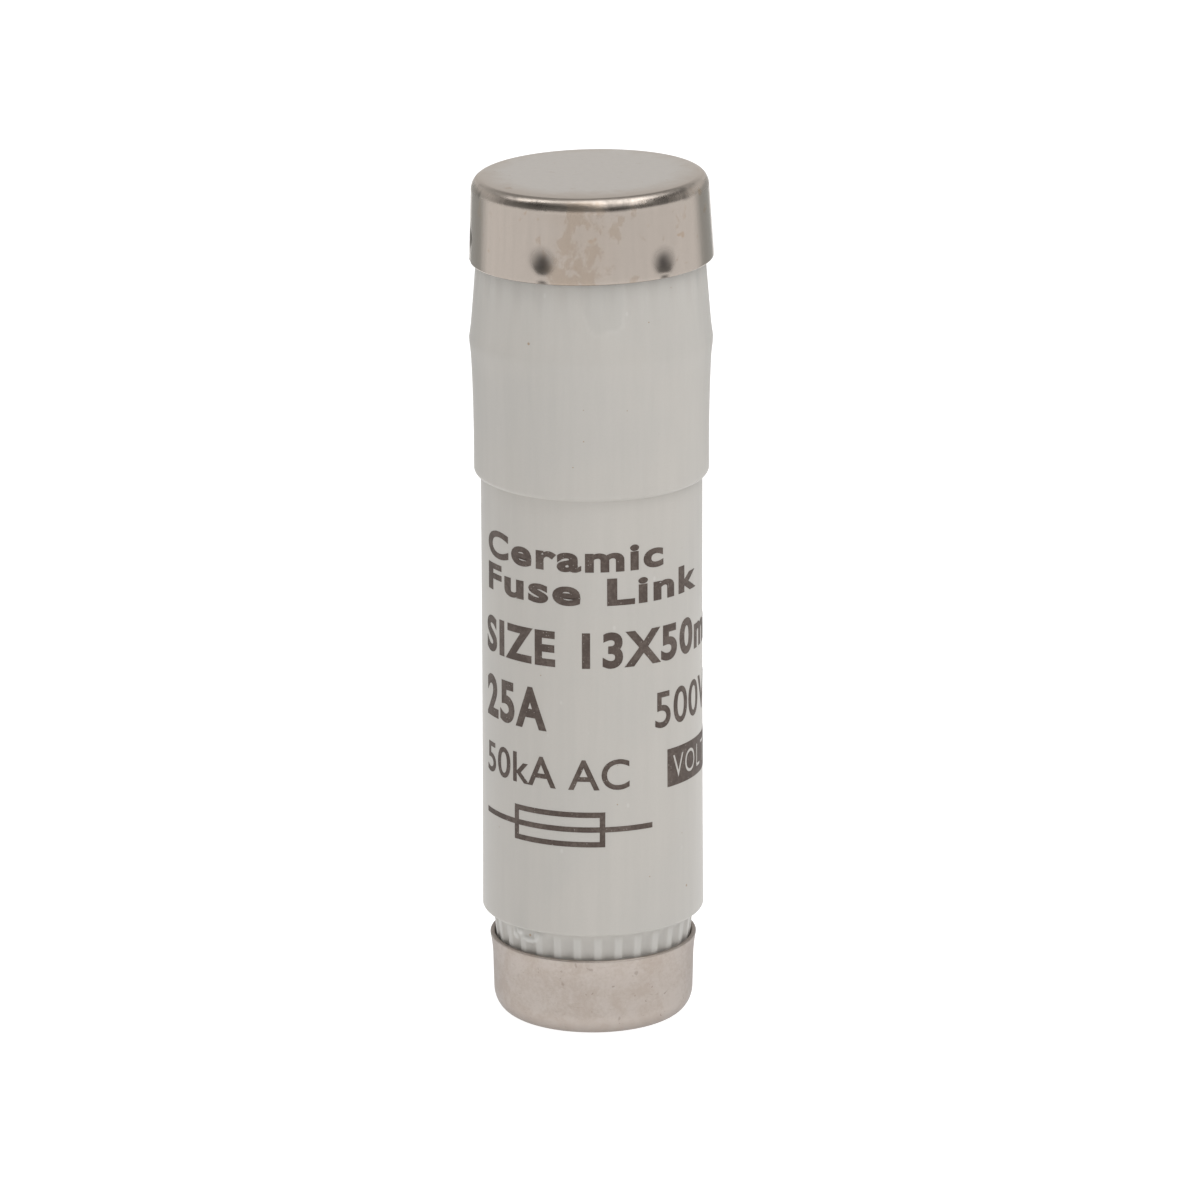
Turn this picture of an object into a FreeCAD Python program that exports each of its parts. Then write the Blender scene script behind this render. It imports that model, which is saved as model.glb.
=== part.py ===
import FreeCAD, Part
import math
import os

# Cartridge fuse-link, 13 mm x 50 mm, with a ceramic body, two pressed metal contact caps, three
# perforated fuse strips in quartz sand, and the plates, discs and solder that close its ends.
# Millimetres. The axis is +Z, the foot cap's contact face is at height 0 and the head is on top.

# Overall sizes
overall_length = 50.0        # from the foot contact face to the head contact face
barrel_radius = 6.39         # plain cylindrical part of the ceramic

# Ceramic: steps of its outline from the barrel's radius
foot_wall = 1.30             # ceramic wall at the foot neck, which sets the bore
foot_neck_step = 0.84        # the foot neck lies this far inside the barrel
foot_neck_rise = 0.30        # gained by the neck between its cap's flare and the shoulder
foot_neck_showing = 1.62     # height of bare neck between the foot cap and the barrel
shoulder_rounding = 0.20
collar_step = 0.375          # the collar stands this far proud of the barrel
collar_height = 7.91         # from the collar's lower face to its ridge
collar_rounding = 0.32
collar_root_rounding = 0.10
collar_straight = 3.10       # straight foot of the collar, before it swells towards the ridge
ridge_step = 0.231           # the ridge stands this far proud of the collar
ridge_rounding = 2.98
ridge_half_height = 0.75
ridge_share = 0.98           # of the ridge's rounding, so that its ends keep a short flat
ridge_drop = 4.65            # from the head cap's rim down to the ridge
head_neck_step = 0.10        # the head neck stands this far proud of the barrel at its end
head_neck_draft = 0.026      # radius gained per millimetre under the head cap
head_chamfer = 0.30

# Flutes that grip the caps
flute_count = 30
flute_turn = 2.7             # degrees from +X of the first flute
flute_width = 0.85           # of a foot flute at the neck's surface
foot_flute_depth = 0.13
head_flute_depth = 0.10
head_flute_run_out = 2.70    # below the rim, where the head flutes fade into the neck
foot_flute_end = 0.75        # clear of the shoulder

# Caps
head_cap_wall = 0.30
foot_cap_wall = 0.25
cap_fit = 0.02               # clearance between a cap and the neck it grips
skirt_height = 4.90          # height of the head cap
skirt_draft = 0.05           # radius gained per millimetre towards the head cap's rim
head_corner = 0.62
head_inner_corner = 0.35
foot_cap_height = 4.74
foot_corner = 1.20
flare_height = 1.44          # the foot cap opens out over this height below its rim
flare_draft = 0.163          # radius gained per millimetre in the flare
flare_rounding = 4.00
rim_rounding = 0.10

# Dimples that stake the head cap into a groove of the neck
dimple_count = 6
dimple_turn = 6.3            # degrees from +X of the first dimple
dimple_above_rim = 1.15
dimple_width = 0.95
dimple_depth = 0.25
groove_width = 1.60
groove_clearance = 0.04      # below the inside of a dimple

# Plates, discs and sand
plate_thickness = 0.40
edge_clearance = 0.12        # between a plate or the solder and the curve inside its cap
disc_thickness = 0.50
disc_fit = 0.05              # clearance of a sealing disc in the bore

# Fuse strips
strip_count = 3
strip_turn = 90.0            # degrees from +X of the first strip
strip_width = 2.20
strip_thickness = 0.15
strip_bend = 0.15            # inside radius of the bends to the tails
strip_inset = 1.65           # from the bore's wall to the middle of a strip
slot_clearance = 0.05
solder_margin = 0.10         # solder past the corners of a tail
notch_radius = 0.65
notch_rows = 5
notch_pitch = 7.0
overlay_length = 3.0
overlay_width = 1.8
overlay_thickness = 0.40
overlay_rounding = 0.30

# Points nearer than this are the same
tolerance = 1e-6

# Plug of the hole that the sand is poured through
plug_land = 1.275            # plate between the plug's hole and the strips
plug_fit = 0.02
plug_flange_width = 0.45
plug_flange_thickness = 0.12

# Heights, worked out from the foot up and from the head down
foot_plate_base = foot_cap_wall + strip_thickness
ceramic_foot = foot_plate_base + plate_thickness
head_plate_top = overall_length - head_cap_wall - strip_thickness
ceramic_head = head_plate_top - plate_thickness
sand_foot = ceramic_foot + disc_thickness
sand_head = ceramic_head - disc_thickness
rim = overall_length - skirt_height
ridge = rim - ridge_drop
collar_foot = ridge - collar_height
flare_foot = foot_cap_height - flare_height
shoulder = foot_cap_height + foot_neck_showing
middle = overall_length / 2

# Radii
foot_neck_radius = barrel_radius - foot_neck_step
bore_radius = foot_neck_radius - foot_wall
head_neck_radius = barrel_radius + head_neck_step
collar_radius = barrel_radius + collar_step
ridge_radius = collar_radius + ridge_step
foot_inner_radius = foot_neck_radius + cap_fit
foot_land_radius = foot_inner_radius + foot_cap_wall
foot_inner_corner = foot_corner - foot_cap_wall
foot_floor_radius = foot_inner_radius - foot_inner_corner
foot_chamfer = foot_cap_wall + foot_inner_corner - ceramic_foot  # clears the curve inside the cap
solder_radius = foot_floor_radius - edge_clearance
tail_reach = math.sqrt((solder_radius - solder_margin) ** 2 - (strip_width / 2) ** 2)
strip_radius = bore_radius - strip_inset
strip_inside = strip_radius - strip_thickness / 2
strip_outside = strip_radius + strip_thickness / 2
plug_hole_radius = strip_inside - plug_land
flange_radius = plug_hole_radius + plug_flange_width
flute_cutter = (flute_width ** 2 / 4 + foot_flute_depth ** 2) / (2 * foot_flute_depth)


def at(radius, height):
    """A point of the half-section."""
    return FreeCAD.Vector(radius, 0, height)


def section(corners):
    """Closed face in the XZ plane, from (radius, height) or (radius, height, rounding) corners."""
    points = [at(corner[0], corner[1]) for corner in corners]
    stations = []
    for index, corner in enumerate(corners):
        point = points[index]
        if len(corner) == 2:
            stations.append((point, None, point))
            continue
        back = (points[index - 1] - point).normalize()
        ahead = (points[(index + 1) % len(points)] - point).normalize()
        inward = (back + ahead).normalize()
        half_angle = back.getAngle(ahead) / 2
        reach = corner[2] / math.tan(half_angle)
        depth = corner[2] / math.sin(half_angle) - corner[2]
        stations.append((point + back * reach, point + inward * depth, point + ahead * reach))
    edges = []
    for index, (start, via, end) in enumerate(stations):
        before = stations[index - 1][2]
        if before.distanceToPoint(start) > tolerance:
            edges.append(Part.LineSegment(before, start).toShape())
        if via is not None:
            edges.append(Part.Arc(start, via, end).toShape())
    return Part.Face(Part.Wire(edges))


def revolved(corners):
    """Solid of revolution about the fuse's axis."""
    return section(corners).revolve(FreeCAD.Vector(0, 0, 0), FreeCAD.Vector(0, 0, 1), 360)


def disc(radius, base, top):
    """Cylinder on the fuse's axis between two heights."""
    return Part.makeCylinder(radius, top - base, at(0, base))


def block(inside, outside, width, base, top):
    """Box across +X from one radius to another, centred on the XZ plane."""
    corner = FreeCAD.Vector(inside, -width / 2, base)
    return Part.makeBox(outside - inside, width, top - base, corner)


def around(shape, count, first_turn=0.0):
    """Copies of a shape, evenly spaced about the axis."""
    copies = []
    for step in range(count):
        copy = shape.copy()
        turn = first_turn + step * 360.0 / count
        copy.rotate(FreeCAD.Vector(0, 0, 0), FreeCAD.Vector(0, 0, 1), turn)
        copies.append(copy)
    return copies


def head_neck(height):
    """Radius of the head neck under the cap."""
    return head_neck_radius + head_neck_draft * (ceramic_head - height)


def head_inner(height):
    """Radius inside the head cap."""
    return head_neck_radius + cap_fit + skirt_draft * (ceramic_head - height)


def plate_radius(inner_radius, inner_corner):
    """Largest plate that lies one strip thickness off the floor of a rounded cap."""
    rise = inner_corner - strip_thickness
    return inner_radius - inner_corner + math.sqrt(inner_corner ** 2 - rise ** 2) - edge_clearance


def flute(foot_radius, foot, head_radius, head):
    """Cutter of one flute, whose deepest line runs between two (radius, height) points."""
    start = at(foot_radius + flute_cutter, foot)
    end = at(head_radius + flute_cutter, head)
    return Part.makeCylinder(flute_cutter, start.distanceToPoint(end), start, end - start)


def dimple_centre():
    """Height, and distance from the axis, of the centre of a dimple's sphere."""
    height = rim + dimple_above_rim
    radius = (dimple_width ** 2 / 4 + dimple_depth ** 2) / (2 * dimple_depth)
    distance = head_inner(height) + head_cap_wall - dimple_depth + radius
    return height, distance, radius


def ceramic_body():
    """Tube with a fluted neck at each end and a collar that swells to a ridge under the head."""
    flank = math.atan2(ridge_half_height, ridge_rounding)
    ridge_tip = ridge_radius + ridge_rounding * (1 / math.cos(flank) - 1)
    ridge_side = ridge_tip - ridge_half_height * math.tan(flank)
    swell_foot = collar_foot + collar_straight
    swell_head = ridge - ridge_half_height
    body = revolved([
        (bore_radius, ceramic_foot),
        (foot_neck_radius - foot_chamfer, ceramic_foot),
        (foot_neck_radius, ceramic_foot + foot_chamfer),
        (foot_neck_radius, flare_foot),
        (foot_neck_radius + foot_neck_rise, shoulder, shoulder_rounding),
        (barrel_radius, shoulder, shoulder_rounding),
        (barrel_radius, collar_foot, collar_root_rounding),
        (collar_radius, collar_foot, collar_rounding),
        (collar_radius, swell_foot),
        (ridge_side, swell_head),
        (ridge_tip, ridge, ridge_rounding * ridge_share),
        (ridge_side, ridge + ridge_half_height),
        (head_neck(rim), rim),
        (head_neck_radius, ceramic_head - head_chamfer),
        (head_neck_radius - head_chamfer, ceramic_head),
        (bore_radius, ceramic_head),
    ])
    foot_root = foot_neck_radius - foot_flute_depth
    foot_slope = foot_neck_rise / (shoulder - flare_foot)
    foot_top = shoulder - foot_flute_end
    foot_flutes = [
        flute(foot_root, ceramic_foot - plate_thickness, foot_root, flare_foot),
        flute(foot_root, flare_foot, foot_root + foot_slope * (foot_top - flare_foot), foot_top),
    ]
    run_out = rim - head_flute_run_out
    neck_slope = (ridge_side - head_neck(rim)) / (rim - ridge - ridge_half_height)
    surface_there = head_neck(rim) + neck_slope * head_flute_run_out
    head_flutes = [
        flute(surface_there, run_out, head_neck(rim) - head_flute_depth, rim),
        flute(head_neck(rim) - head_flute_depth, rim,
              head_neck(ceramic_head) - head_flute_depth, ceramic_head),
    ]
    cutters = []
    for cutter in foot_flutes + head_flutes:
        cutters += around(cutter, flute_count, flute_turn)
    return body.cut(cutters).cut(stake_groove())


def stake_groove():
    """Ring cut from the head neck, which the inside of the dimples stands in."""
    height, distance, radius = dimple_centre()
    floor = distance - radius - head_cap_wall - groove_clearance
    outer = disc(ridge_radius, height - groove_width / 2, height + groove_width / 2)
    return outer.cut(disc(floor, height - groove_width, height + groove_width))


def head_cap():
    """Drawn cap with a slightly open skirt, staked into the neck by six dimples."""
    top = overall_length
    cap = revolved([
        (0, top - head_cap_wall),
        (head_inner(top - head_cap_wall), top - head_cap_wall, head_inner_corner),
        (head_inner(rim), rim, rim_rounding),
        (head_inner(rim) + head_cap_wall, rim, rim_rounding),
        (head_inner(top) + head_cap_wall, top, head_corner),
        (0, top),
    ])
    height, distance, radius = dimple_centre()
    bump = Part.makeSphere(radius + head_cap_wall, at(distance, height))
    dent = Part.makeSphere(radius, at(distance, height))
    bump = bump.common(disc(head_inner(height) + head_cap_wall / 2, rim, top))
    cap = cap.fuse(around(bump, dimple_count, dimple_turn))
    return cap.cut(around(dent, dimple_count, dimple_turn))


def foot_cap():
    """Drawn cup with a broad corner, a cylindrical land and a flared rim."""
    flare = flare_draft * flare_height
    return revolved([
        (0, 0),
        (foot_land_radius, 0, foot_corner),
        (foot_land_radius, flare_foot, flare_rounding),
        (foot_land_radius + flare, foot_cap_height, rim_rounding),
        (foot_inner_radius + flare, foot_cap_height, rim_rounding),
        (foot_inner_radius, flare_foot, flare_rounding),
        (foot_inner_radius, foot_cap_wall, foot_inner_corner),
        (0, foot_cap_wall),
    ])


def fuse_strip():
    """Strip in the place of the first of the set, with both tails bent outwards, and notched."""
    base = foot_cap_wall
    top = overall_length - head_cap_wall
    outer_bend = strip_bend + strip_thickness
    face = section([
        (tail_reach, base),
        (strip_inside, base, outer_bend),
        (strip_inside, top, outer_bend),
        (tail_reach, top),
        (tail_reach, top - strip_thickness),
        (strip_outside, top - strip_thickness, strip_bend),
        (strip_outside, base + strip_thickness, strip_bend),
        (tail_reach, base + strip_thickness),
    ])
    face.translate(FreeCAD.Vector(0, -strip_width / 2, 0))
    strip = face.extrude(FreeCAD.Vector(0, strip_width, 0))
    holes = []
    for row in range(notch_rows):
        height = middle + (row - (notch_rows - 1) / 2) * notch_pitch
        holes.append(Part.makeCylinder(notch_radius, bore_radius, at(0, height), at(1, 0)))
    return strip.cut(holes)


def tin_overlay():
    """Bead of tin on the outside of the first strip, between two rows of notches."""
    centre = middle + notch_pitch / 2
    bead = block(strip_outside, strip_outside + overlay_thickness, overlay_width,
                 centre - overlay_length / 2, centre + overlay_length / 2)
    outer_face_edges = []
    for edge in bead.Edges:
        if edge.BoundBox.XMin > strip_outside + overlay_thickness - tolerance:
            outer_face_edges.append(edge)
    return bead.makeFillet(overlay_rounding, outer_face_edges)


def strip_slots(outside, base, top):
    """Cutters of the slots that the strips pass through."""
    slot = block(strip_inside - slot_clearance, outside + slot_clearance,
                 strip_width + 2 * slot_clearance, base, top)
    return around(slot, strip_count, strip_turn)


def contact_plate(radius, base):
    """Round plate on the end of the ceramic, slotted for the strips."""
    top = base + plate_thickness
    bend_end = strip_outside + strip_bend
    return disc(radius, base, top).cut(strip_slots(bend_end, base, top))


def sealing_disc(base):
    """Disc that keeps the sand in the bore, slotted for the strips."""
    top = base + disc_thickness
    return disc(bore_radius - disc_fit, base, top).cut(strip_slots(strip_outside, base, top))


def sand_fill_plug():
    """Plug of the sand hole, with a thin flange on the head plate."""
    shank = disc(plug_hole_radius - plug_fit, sand_head, head_plate_top)
    flange = disc(flange_radius, head_plate_top, head_plate_top + plug_flange_thickness)
    return shank.fuse(flange).removeSplitter()


def solder_joint(base, strips):
    """Flat pool of solder between a plate and its cap, round the tails of the strips."""
    return disc(solder_radius, base, base + strip_thickness).cut(strips)


def build():
    """All pieces of the fuse, by node name."""
    strips = around(fuse_strip(), strip_count, strip_turn)
    overlays = around(tin_overlay(), strip_count, strip_turn)
    sand_hole = disc(plug_hole_radius, sand_head, head_plate_top)
    flange_room = disc(flange_radius + slot_clearance, head_plate_top, overall_length)
    head_plate_radius = plate_radius(head_inner(overall_length - head_cap_wall),
                                     head_inner_corner)
    foot_plate_radius = plate_radius(foot_inner_radius, foot_inner_corner)
    pieces = {
        "ceramic_body": ceramic_body(),
        "head_cap": head_cap(),
        "foot_cap": foot_cap(),
        "head_contact_plate": contact_plate(head_plate_radius, ceramic_head).cut(sand_hole),
        "foot_contact_plate": contact_plate(foot_plate_radius, foot_plate_base),
        "head_sealing_disc": sealing_disc(sand_head).cut(sand_hole),
        "foot_sealing_disc": sealing_disc(ceramic_foot),
        "sand_fill_plug": sand_fill_plug(),
        "head_solder_joint": solder_joint(head_plate_top, strips).cut(flange_room),
        "foot_solder_joint": solder_joint(foot_cap_wall, strips),
        "quartz_sand": disc(bore_radius, sand_foot, sand_head).cut(strips + overlays),
    }
    for number, (strip, overlay) in enumerate(zip(strips, overlays), start=1):
        pieces[f"fuse_element_{number}"] = strip
        pieces[f"tin_overlay_{number}"] = overlay
    return pieces


os.makedirs("parts", exist_ok=True)
for node, shape in build().items():
    volume = sum(solid.Volume for solid in shape.Solids)
    print(f"{node}: {len(shape.Solids)} solid, {volume:.2f} mm3, valid {shape.isValid()}")
    shape.exportStep(f"parts/{node}.step")
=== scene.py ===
import logging
import math
from dataclasses import dataclass, field
from enum import Enum
from typing import Any, Callable

import bmesh
import bpy
from mathutils import Matrix, Vector


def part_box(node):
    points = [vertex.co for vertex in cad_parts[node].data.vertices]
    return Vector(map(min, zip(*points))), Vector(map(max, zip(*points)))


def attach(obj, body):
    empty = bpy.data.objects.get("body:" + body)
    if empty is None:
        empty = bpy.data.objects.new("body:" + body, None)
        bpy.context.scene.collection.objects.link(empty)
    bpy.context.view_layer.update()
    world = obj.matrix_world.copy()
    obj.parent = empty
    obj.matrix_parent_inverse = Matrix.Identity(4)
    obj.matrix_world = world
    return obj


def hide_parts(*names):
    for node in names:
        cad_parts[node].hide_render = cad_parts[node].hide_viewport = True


# Looks of a ceramic cartridge fuse-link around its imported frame. Sizes of the pieces are fields in
# millimetres, measured from the frame's own boxes, and meshes are in metres.

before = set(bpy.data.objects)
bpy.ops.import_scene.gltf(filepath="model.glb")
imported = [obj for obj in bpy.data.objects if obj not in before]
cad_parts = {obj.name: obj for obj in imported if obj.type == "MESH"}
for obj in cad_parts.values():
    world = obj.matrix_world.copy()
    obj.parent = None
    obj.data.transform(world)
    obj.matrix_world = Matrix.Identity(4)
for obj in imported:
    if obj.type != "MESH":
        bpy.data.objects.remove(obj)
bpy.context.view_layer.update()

LOG = logging.getLogger("cartridge_fuse")
MM = 0.001
DEGREE = math.radians(1.0)
FRONT = 90.0             # degrees from the front round to +X
SAME_POINT = 1e-8        # metres
SAME_FLAT_POINT = 1e-5   # millimetres, or lettering at size 1
BODY = "root"

Colour = tuple[float, float, float]


# ---------------------------------------------------------------------------------------------
# Node trees


class Signal:
    """An output socket on which Python's operators make Math nodes."""

    def __init__(self, net: "Net", socket: bpy.types.NodeSocket) -> None:
        """Wrap one output socket of a net."""
        self.net = net
        self.socket = socket

    def part(self, name: str) -> "Signal":
        """Another output of the same node."""
        return Signal(self.net, self.socket.node.outputs[name])

    def __add__(self, other: Any) -> "Signal":
        """Sum."""
        return self.net.maths("ADD", self, other)

    def __sub__(self, other: Any) -> "Signal":
        """Difference."""
        return self.net.maths("SUBTRACT", self, other)

    def __rsub__(self, other: Any) -> "Signal":
        """Difference from a number."""
        return self.net.maths("SUBTRACT", other, self)

    def __mul__(self, other: Any) -> "Signal":
        """Product."""
        return self.net.maths("MULTIPLY", self, other)

    def __truediv__(self, other: Any) -> "Signal":
        """Quotient."""
        return self.net.maths("DIVIDE", self, other)

    def __rtruediv__(self, other: Any) -> "Signal":
        """Quotient of a number."""
        return self.net.maths("DIVIDE", other, self)

    __radd__ = __add__
    __rmul__ = __mul__


class Net:
    """A node tree, for a shader or for geometry."""

    def __init__(self, tree: bpy.types.NodeTree) -> None:
        """Take over a tree and clear it."""
        self.tree = tree
        tree.nodes.clear()

    def node(self, kind: str, settings: dict[str, Any] | None = None,
             sockets: dict[Any, Any] | None = None) -> Signal | None:
        """Add a node.

        Args:
            kind: the node's type name.
            settings: its properties, set first.
            sockets: values or signals, by input name or number.

        Returns:
            The node's first output, or None where it has no output.
        """
        made = self.tree.nodes.new(kind)
        for name, value in (settings or {}).items():
            setattr(made, name, value)
        for key, value in (sockets or {}).items():
            if isinstance(value, Signal):
                self.tree.links.new(value.socket, made.inputs[key])
            else:
                made.inputs[key].default_value = value
        return Signal(self, made.outputs[0]) if made.outputs else None

    def maths(self, operation: str, first: Any, second: Any = 0.0, third: Any = 0.0) -> Signal:
        """One Math node on up to three numbers or signals."""
        return self.node("ShaderNodeMath", {"operation": operation},
                         {0: first, 1: second, 2: third})

    def most(self, first: Signal, *others: Signal) -> Signal:
        """The largest of some numbers."""
        return self.maths("MAXIMUM", first, self.most(*others)) if others else first

    def vector(self, operation: str, first: Any, second: Any = (0.0, 0.0, 0.0)) -> Signal:
        """One Vector Math node on two vectors."""
        return self.node("ShaderNodeVectorMath", {"operation": operation}, {0: first, 1: second})

    def scaled(self, vector: Signal, amount: Any) -> Signal:
        """A vector times a number."""
        return self.node("ShaderNodeVectorMath", {"operation": "SCALE"},
                         {0: vector, "Scale": amount})

    def axes(self, vector: Signal) -> Signal:
        """A vector's X, Y and Z, as parts."""
        return self.node("ShaderNodeSeparateXYZ", None, {0: vector})

    def smooth(self, value: Any, low: float, high: float, start: float = 0.0,
               end: float = 1.0) -> Signal:
        """A smooth step of a value from start, at low, to end, at high."""
        return self.node("ShaderNodeMapRange", {"interpolation_type": "SMOOTHSTEP"},
                         {0: value, 1: low, 2: high, 3: start, 4: end})

    def blend(self, factor: Any, first: Any, second: Any, mode: str = "MIX") -> Signal:
        """Mix two colours.

        Args:
            factor: share of the second colour.
            first: colour or signal.
            second: colour or signal.
            mode: the Mix node's blend type.

        Returns:
            The mixed colour.
        """
        sockets = {0: factor}
        for key, value in ((6, first), (7, second)):
            sockets[key] = value if isinstance(value, Signal) else (*value, 1.0)
        node = self.node("ShaderNodeMix", {"data_type": "RGBA", "blend_type": mode}, sockets)
        return Signal(self, node.socket.node.outputs[2])

    def shaded(self, colour: Signal, shade: Signal) -> Signal:
        """A colour times a number."""
        grey = self.node("ShaderNodeCombineColor", None, {0: shade, 1: shade, 2: shade})
        return self.blend(1.0, colour, grey, "MULTIPLY")

    def noise(self, place: Signal, scale: float, detail: float = 2.0, roughness: float = 0.5,
              distortion: float = 0.0, seed: float = 0.0) -> Signal:
        """Noise from 0 to 1.

        Args:
            place: vector that the pattern follows.
            scale: how many features there are per unit.
            detail: how many finer layers are laid over it.
            roughness: how strong the finer layers are.
            distortion: how far the pattern is twisted.
            seed: which pattern.

        Returns:
            The noise.
        """
        return self.node("ShaderNodeTexNoise", {"noise_dimensions": "4D"},
                         {"Vector": place, "W": seed, "Scale": scale, "Detail": detail,
                          "Roughness": roughness, "Distortion": distortion})

    def specks(self, place: Signal, scale: float, size: float, share: float,
               seed: float = 0.0) -> Signal:
        """Round specks, 1 inside and 0 outside.

        Args:
            place: vector that the pattern follows.
            scale: cells per unit.
            size: radius of a speck, in cells.
            share: share of the cells that hold one.
            seed: which pattern.

        Returns:
            The mask.
        """
        shifted = self.vector("ADD", place, (seed * 17.3, seed * 5.1, seed * 9.7))
        cell = self.node("ShaderNodeTexVoronoi", None, {"Vector": shifted, "Scale": scale})
        chosen = self.maths("LESS_THAN", self.part_of(cell, "Color"), share)
        return self.smooth(cell.part("Distance"), size, size * 0.55) * chosen

    def part_of(self, node: Signal, name: str) -> Signal:
        """The red share of a colour output."""
        return self.node("ShaderNodeSeparateColor", None, {0: node.part(name)})

    def place(self) -> Signal:
        """Object coordinates in millimetres."""
        return self.scaled(self.node("ShaderNodeTexCoord").part("Object"), 1.0 / MM)

    def warped(self, place: Signal, scale: float) -> Signal:
        """A place pushed about by noise of this scale."""
        push = self.node("ShaderNodeTexNoise", None, {"Vector": place, "Scale": scale})
        return self.vector("ADD", place, push.part("Color"))

    def stretched(self, place: Signal, across: float, along: float) -> Signal:
        """A place scaled by one number across the axis and by another along it."""
        return self.vector("MULTIPLY", place, (across, across, along))

    def attribute(self, name: str) -> Signal:
        """A number stored on the piece's points."""
        return self.node("ShaderNodeAttribute", {"attribute_name": name}).part("Fac")

    def bump(self, height: Signal, distance: float, strength: float = 1.0) -> Signal:
        """Normal of a bump whose height is in units of distance, in metres."""
        return self.node("ShaderNodeBump", None,
                         {"Height": height, "Distance": distance, "Strength": strength})


# ---------------------------------------------------------------------------------------------
# Finishes


@dataclass(frozen=True)
class Finish:
    """What a surface looks like."""

    name: str = "finish"

    def surface(self, net: Net) -> dict[str, Any]:
        """Sockets of the Principled shader, by name."""
        raise NotImplementedError

    def shader(self, net: Net) -> Signal:
        """The shader that the material ends in."""
        return net.node("ShaderNodeBsdfPrincipled", None, self.surface(net))

    def material(self) -> bpy.types.Material:
        """The finish's material.

        Returns:
            The material, which is made the first time it is asked for.
        """
        found = bpy.data.materials.get(self.name)
        if found is not None:
            return found
        made = bpy.data.materials.new(self.name)
        made.use_nodes = True
        net = Net(made.node_tree)
        net.node("ShaderNodeOutputMaterial", None, {"Surface": self.shader(net)})
        return made


@dataclass(frozen=True)
class GlazedCeramic(Finish):
    """Off-white ceramic under a thin satin glaze, with drips, streaks and small brown specks, and
    painted highlights on the flute crests and glaze beads.
    """

    name: str = "satin_glazed_ceramic"
    body: Colour = (0.462, 0.440, 0.408)
    cool: Colour = (0.448, 0.430, 0.402)
    # Pale colour of the painted highlight on crests and beads. The real pale flecks use it too.
    crest_highlight: Colour = (0.560, 0.550, 0.524)
    bare: Colour = (0.385, 0.378, 0.354)
    speck: Colour = (0.30, 0.20, 0.12)

    def surface(self, net: Net) -> dict[str, Any]:
        """Sockets of the Principled shader.

        Args:
            net: the material's tree.

        Returns:
            Values and signals by socket name.
        """
        place = net.place()
        clouds = net.noise(place, 0.16, 3.0, 0.5, 0.4, 3.0)
        streaks = net.noise(net.stretched(place, 1.5, 0.10), 1.0, 3.0, 0.6, 0.0, 8.0)
        grain = net.noise(place, 9.0, 2.0, 0.6, 0.0, 2.0)
        colour = net.blend(net.smooth(clouds, 0.35, 0.70), self.body, self.cool)
        shade = 1.0 + (streaks - 0.5) * 0.11 + (grain - 0.5) * 0.06
        colour = net.shaded(colour, shade)
        colour = net.blend(net.attribute("bare") * 0.20, colour, self.bare)
        # Painted highlight on the flute crests, the drip's raised edge and the glaze beads.
        colour = net.blend(net.attribute("crest_highlight") * 0.60, colour, self.crest_highlight)
        # Real pale flecks in the glaze, in the same pale colour.
        flecks = net.specks(net.stretched(place, 1.0, 0.6), 1.3, 0.14, 0.10, 11.0)
        colour = net.blend(flecks * 0.35, colour, self.crest_highlight)
        marks = net.specks(place, 0.55, 0.062, 0.22, 4.0)
        dust = net.specks(place, 1.6, 0.085, 0.08, 7.0)
        colour = net.blend(net.most(marks, dust) * 0.75, colour, self.speck)
        return {
            "Base Color": colour,
            "Roughness": 0.40 + (grain - 0.5) * 0.10 + (clouds - 0.5) * 0.10,
            "Specular IOR Level": 0.40,
            "Normal": net.bump(grain * 0.4 + streaks, 0.00001, 0.6),
        }


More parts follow.
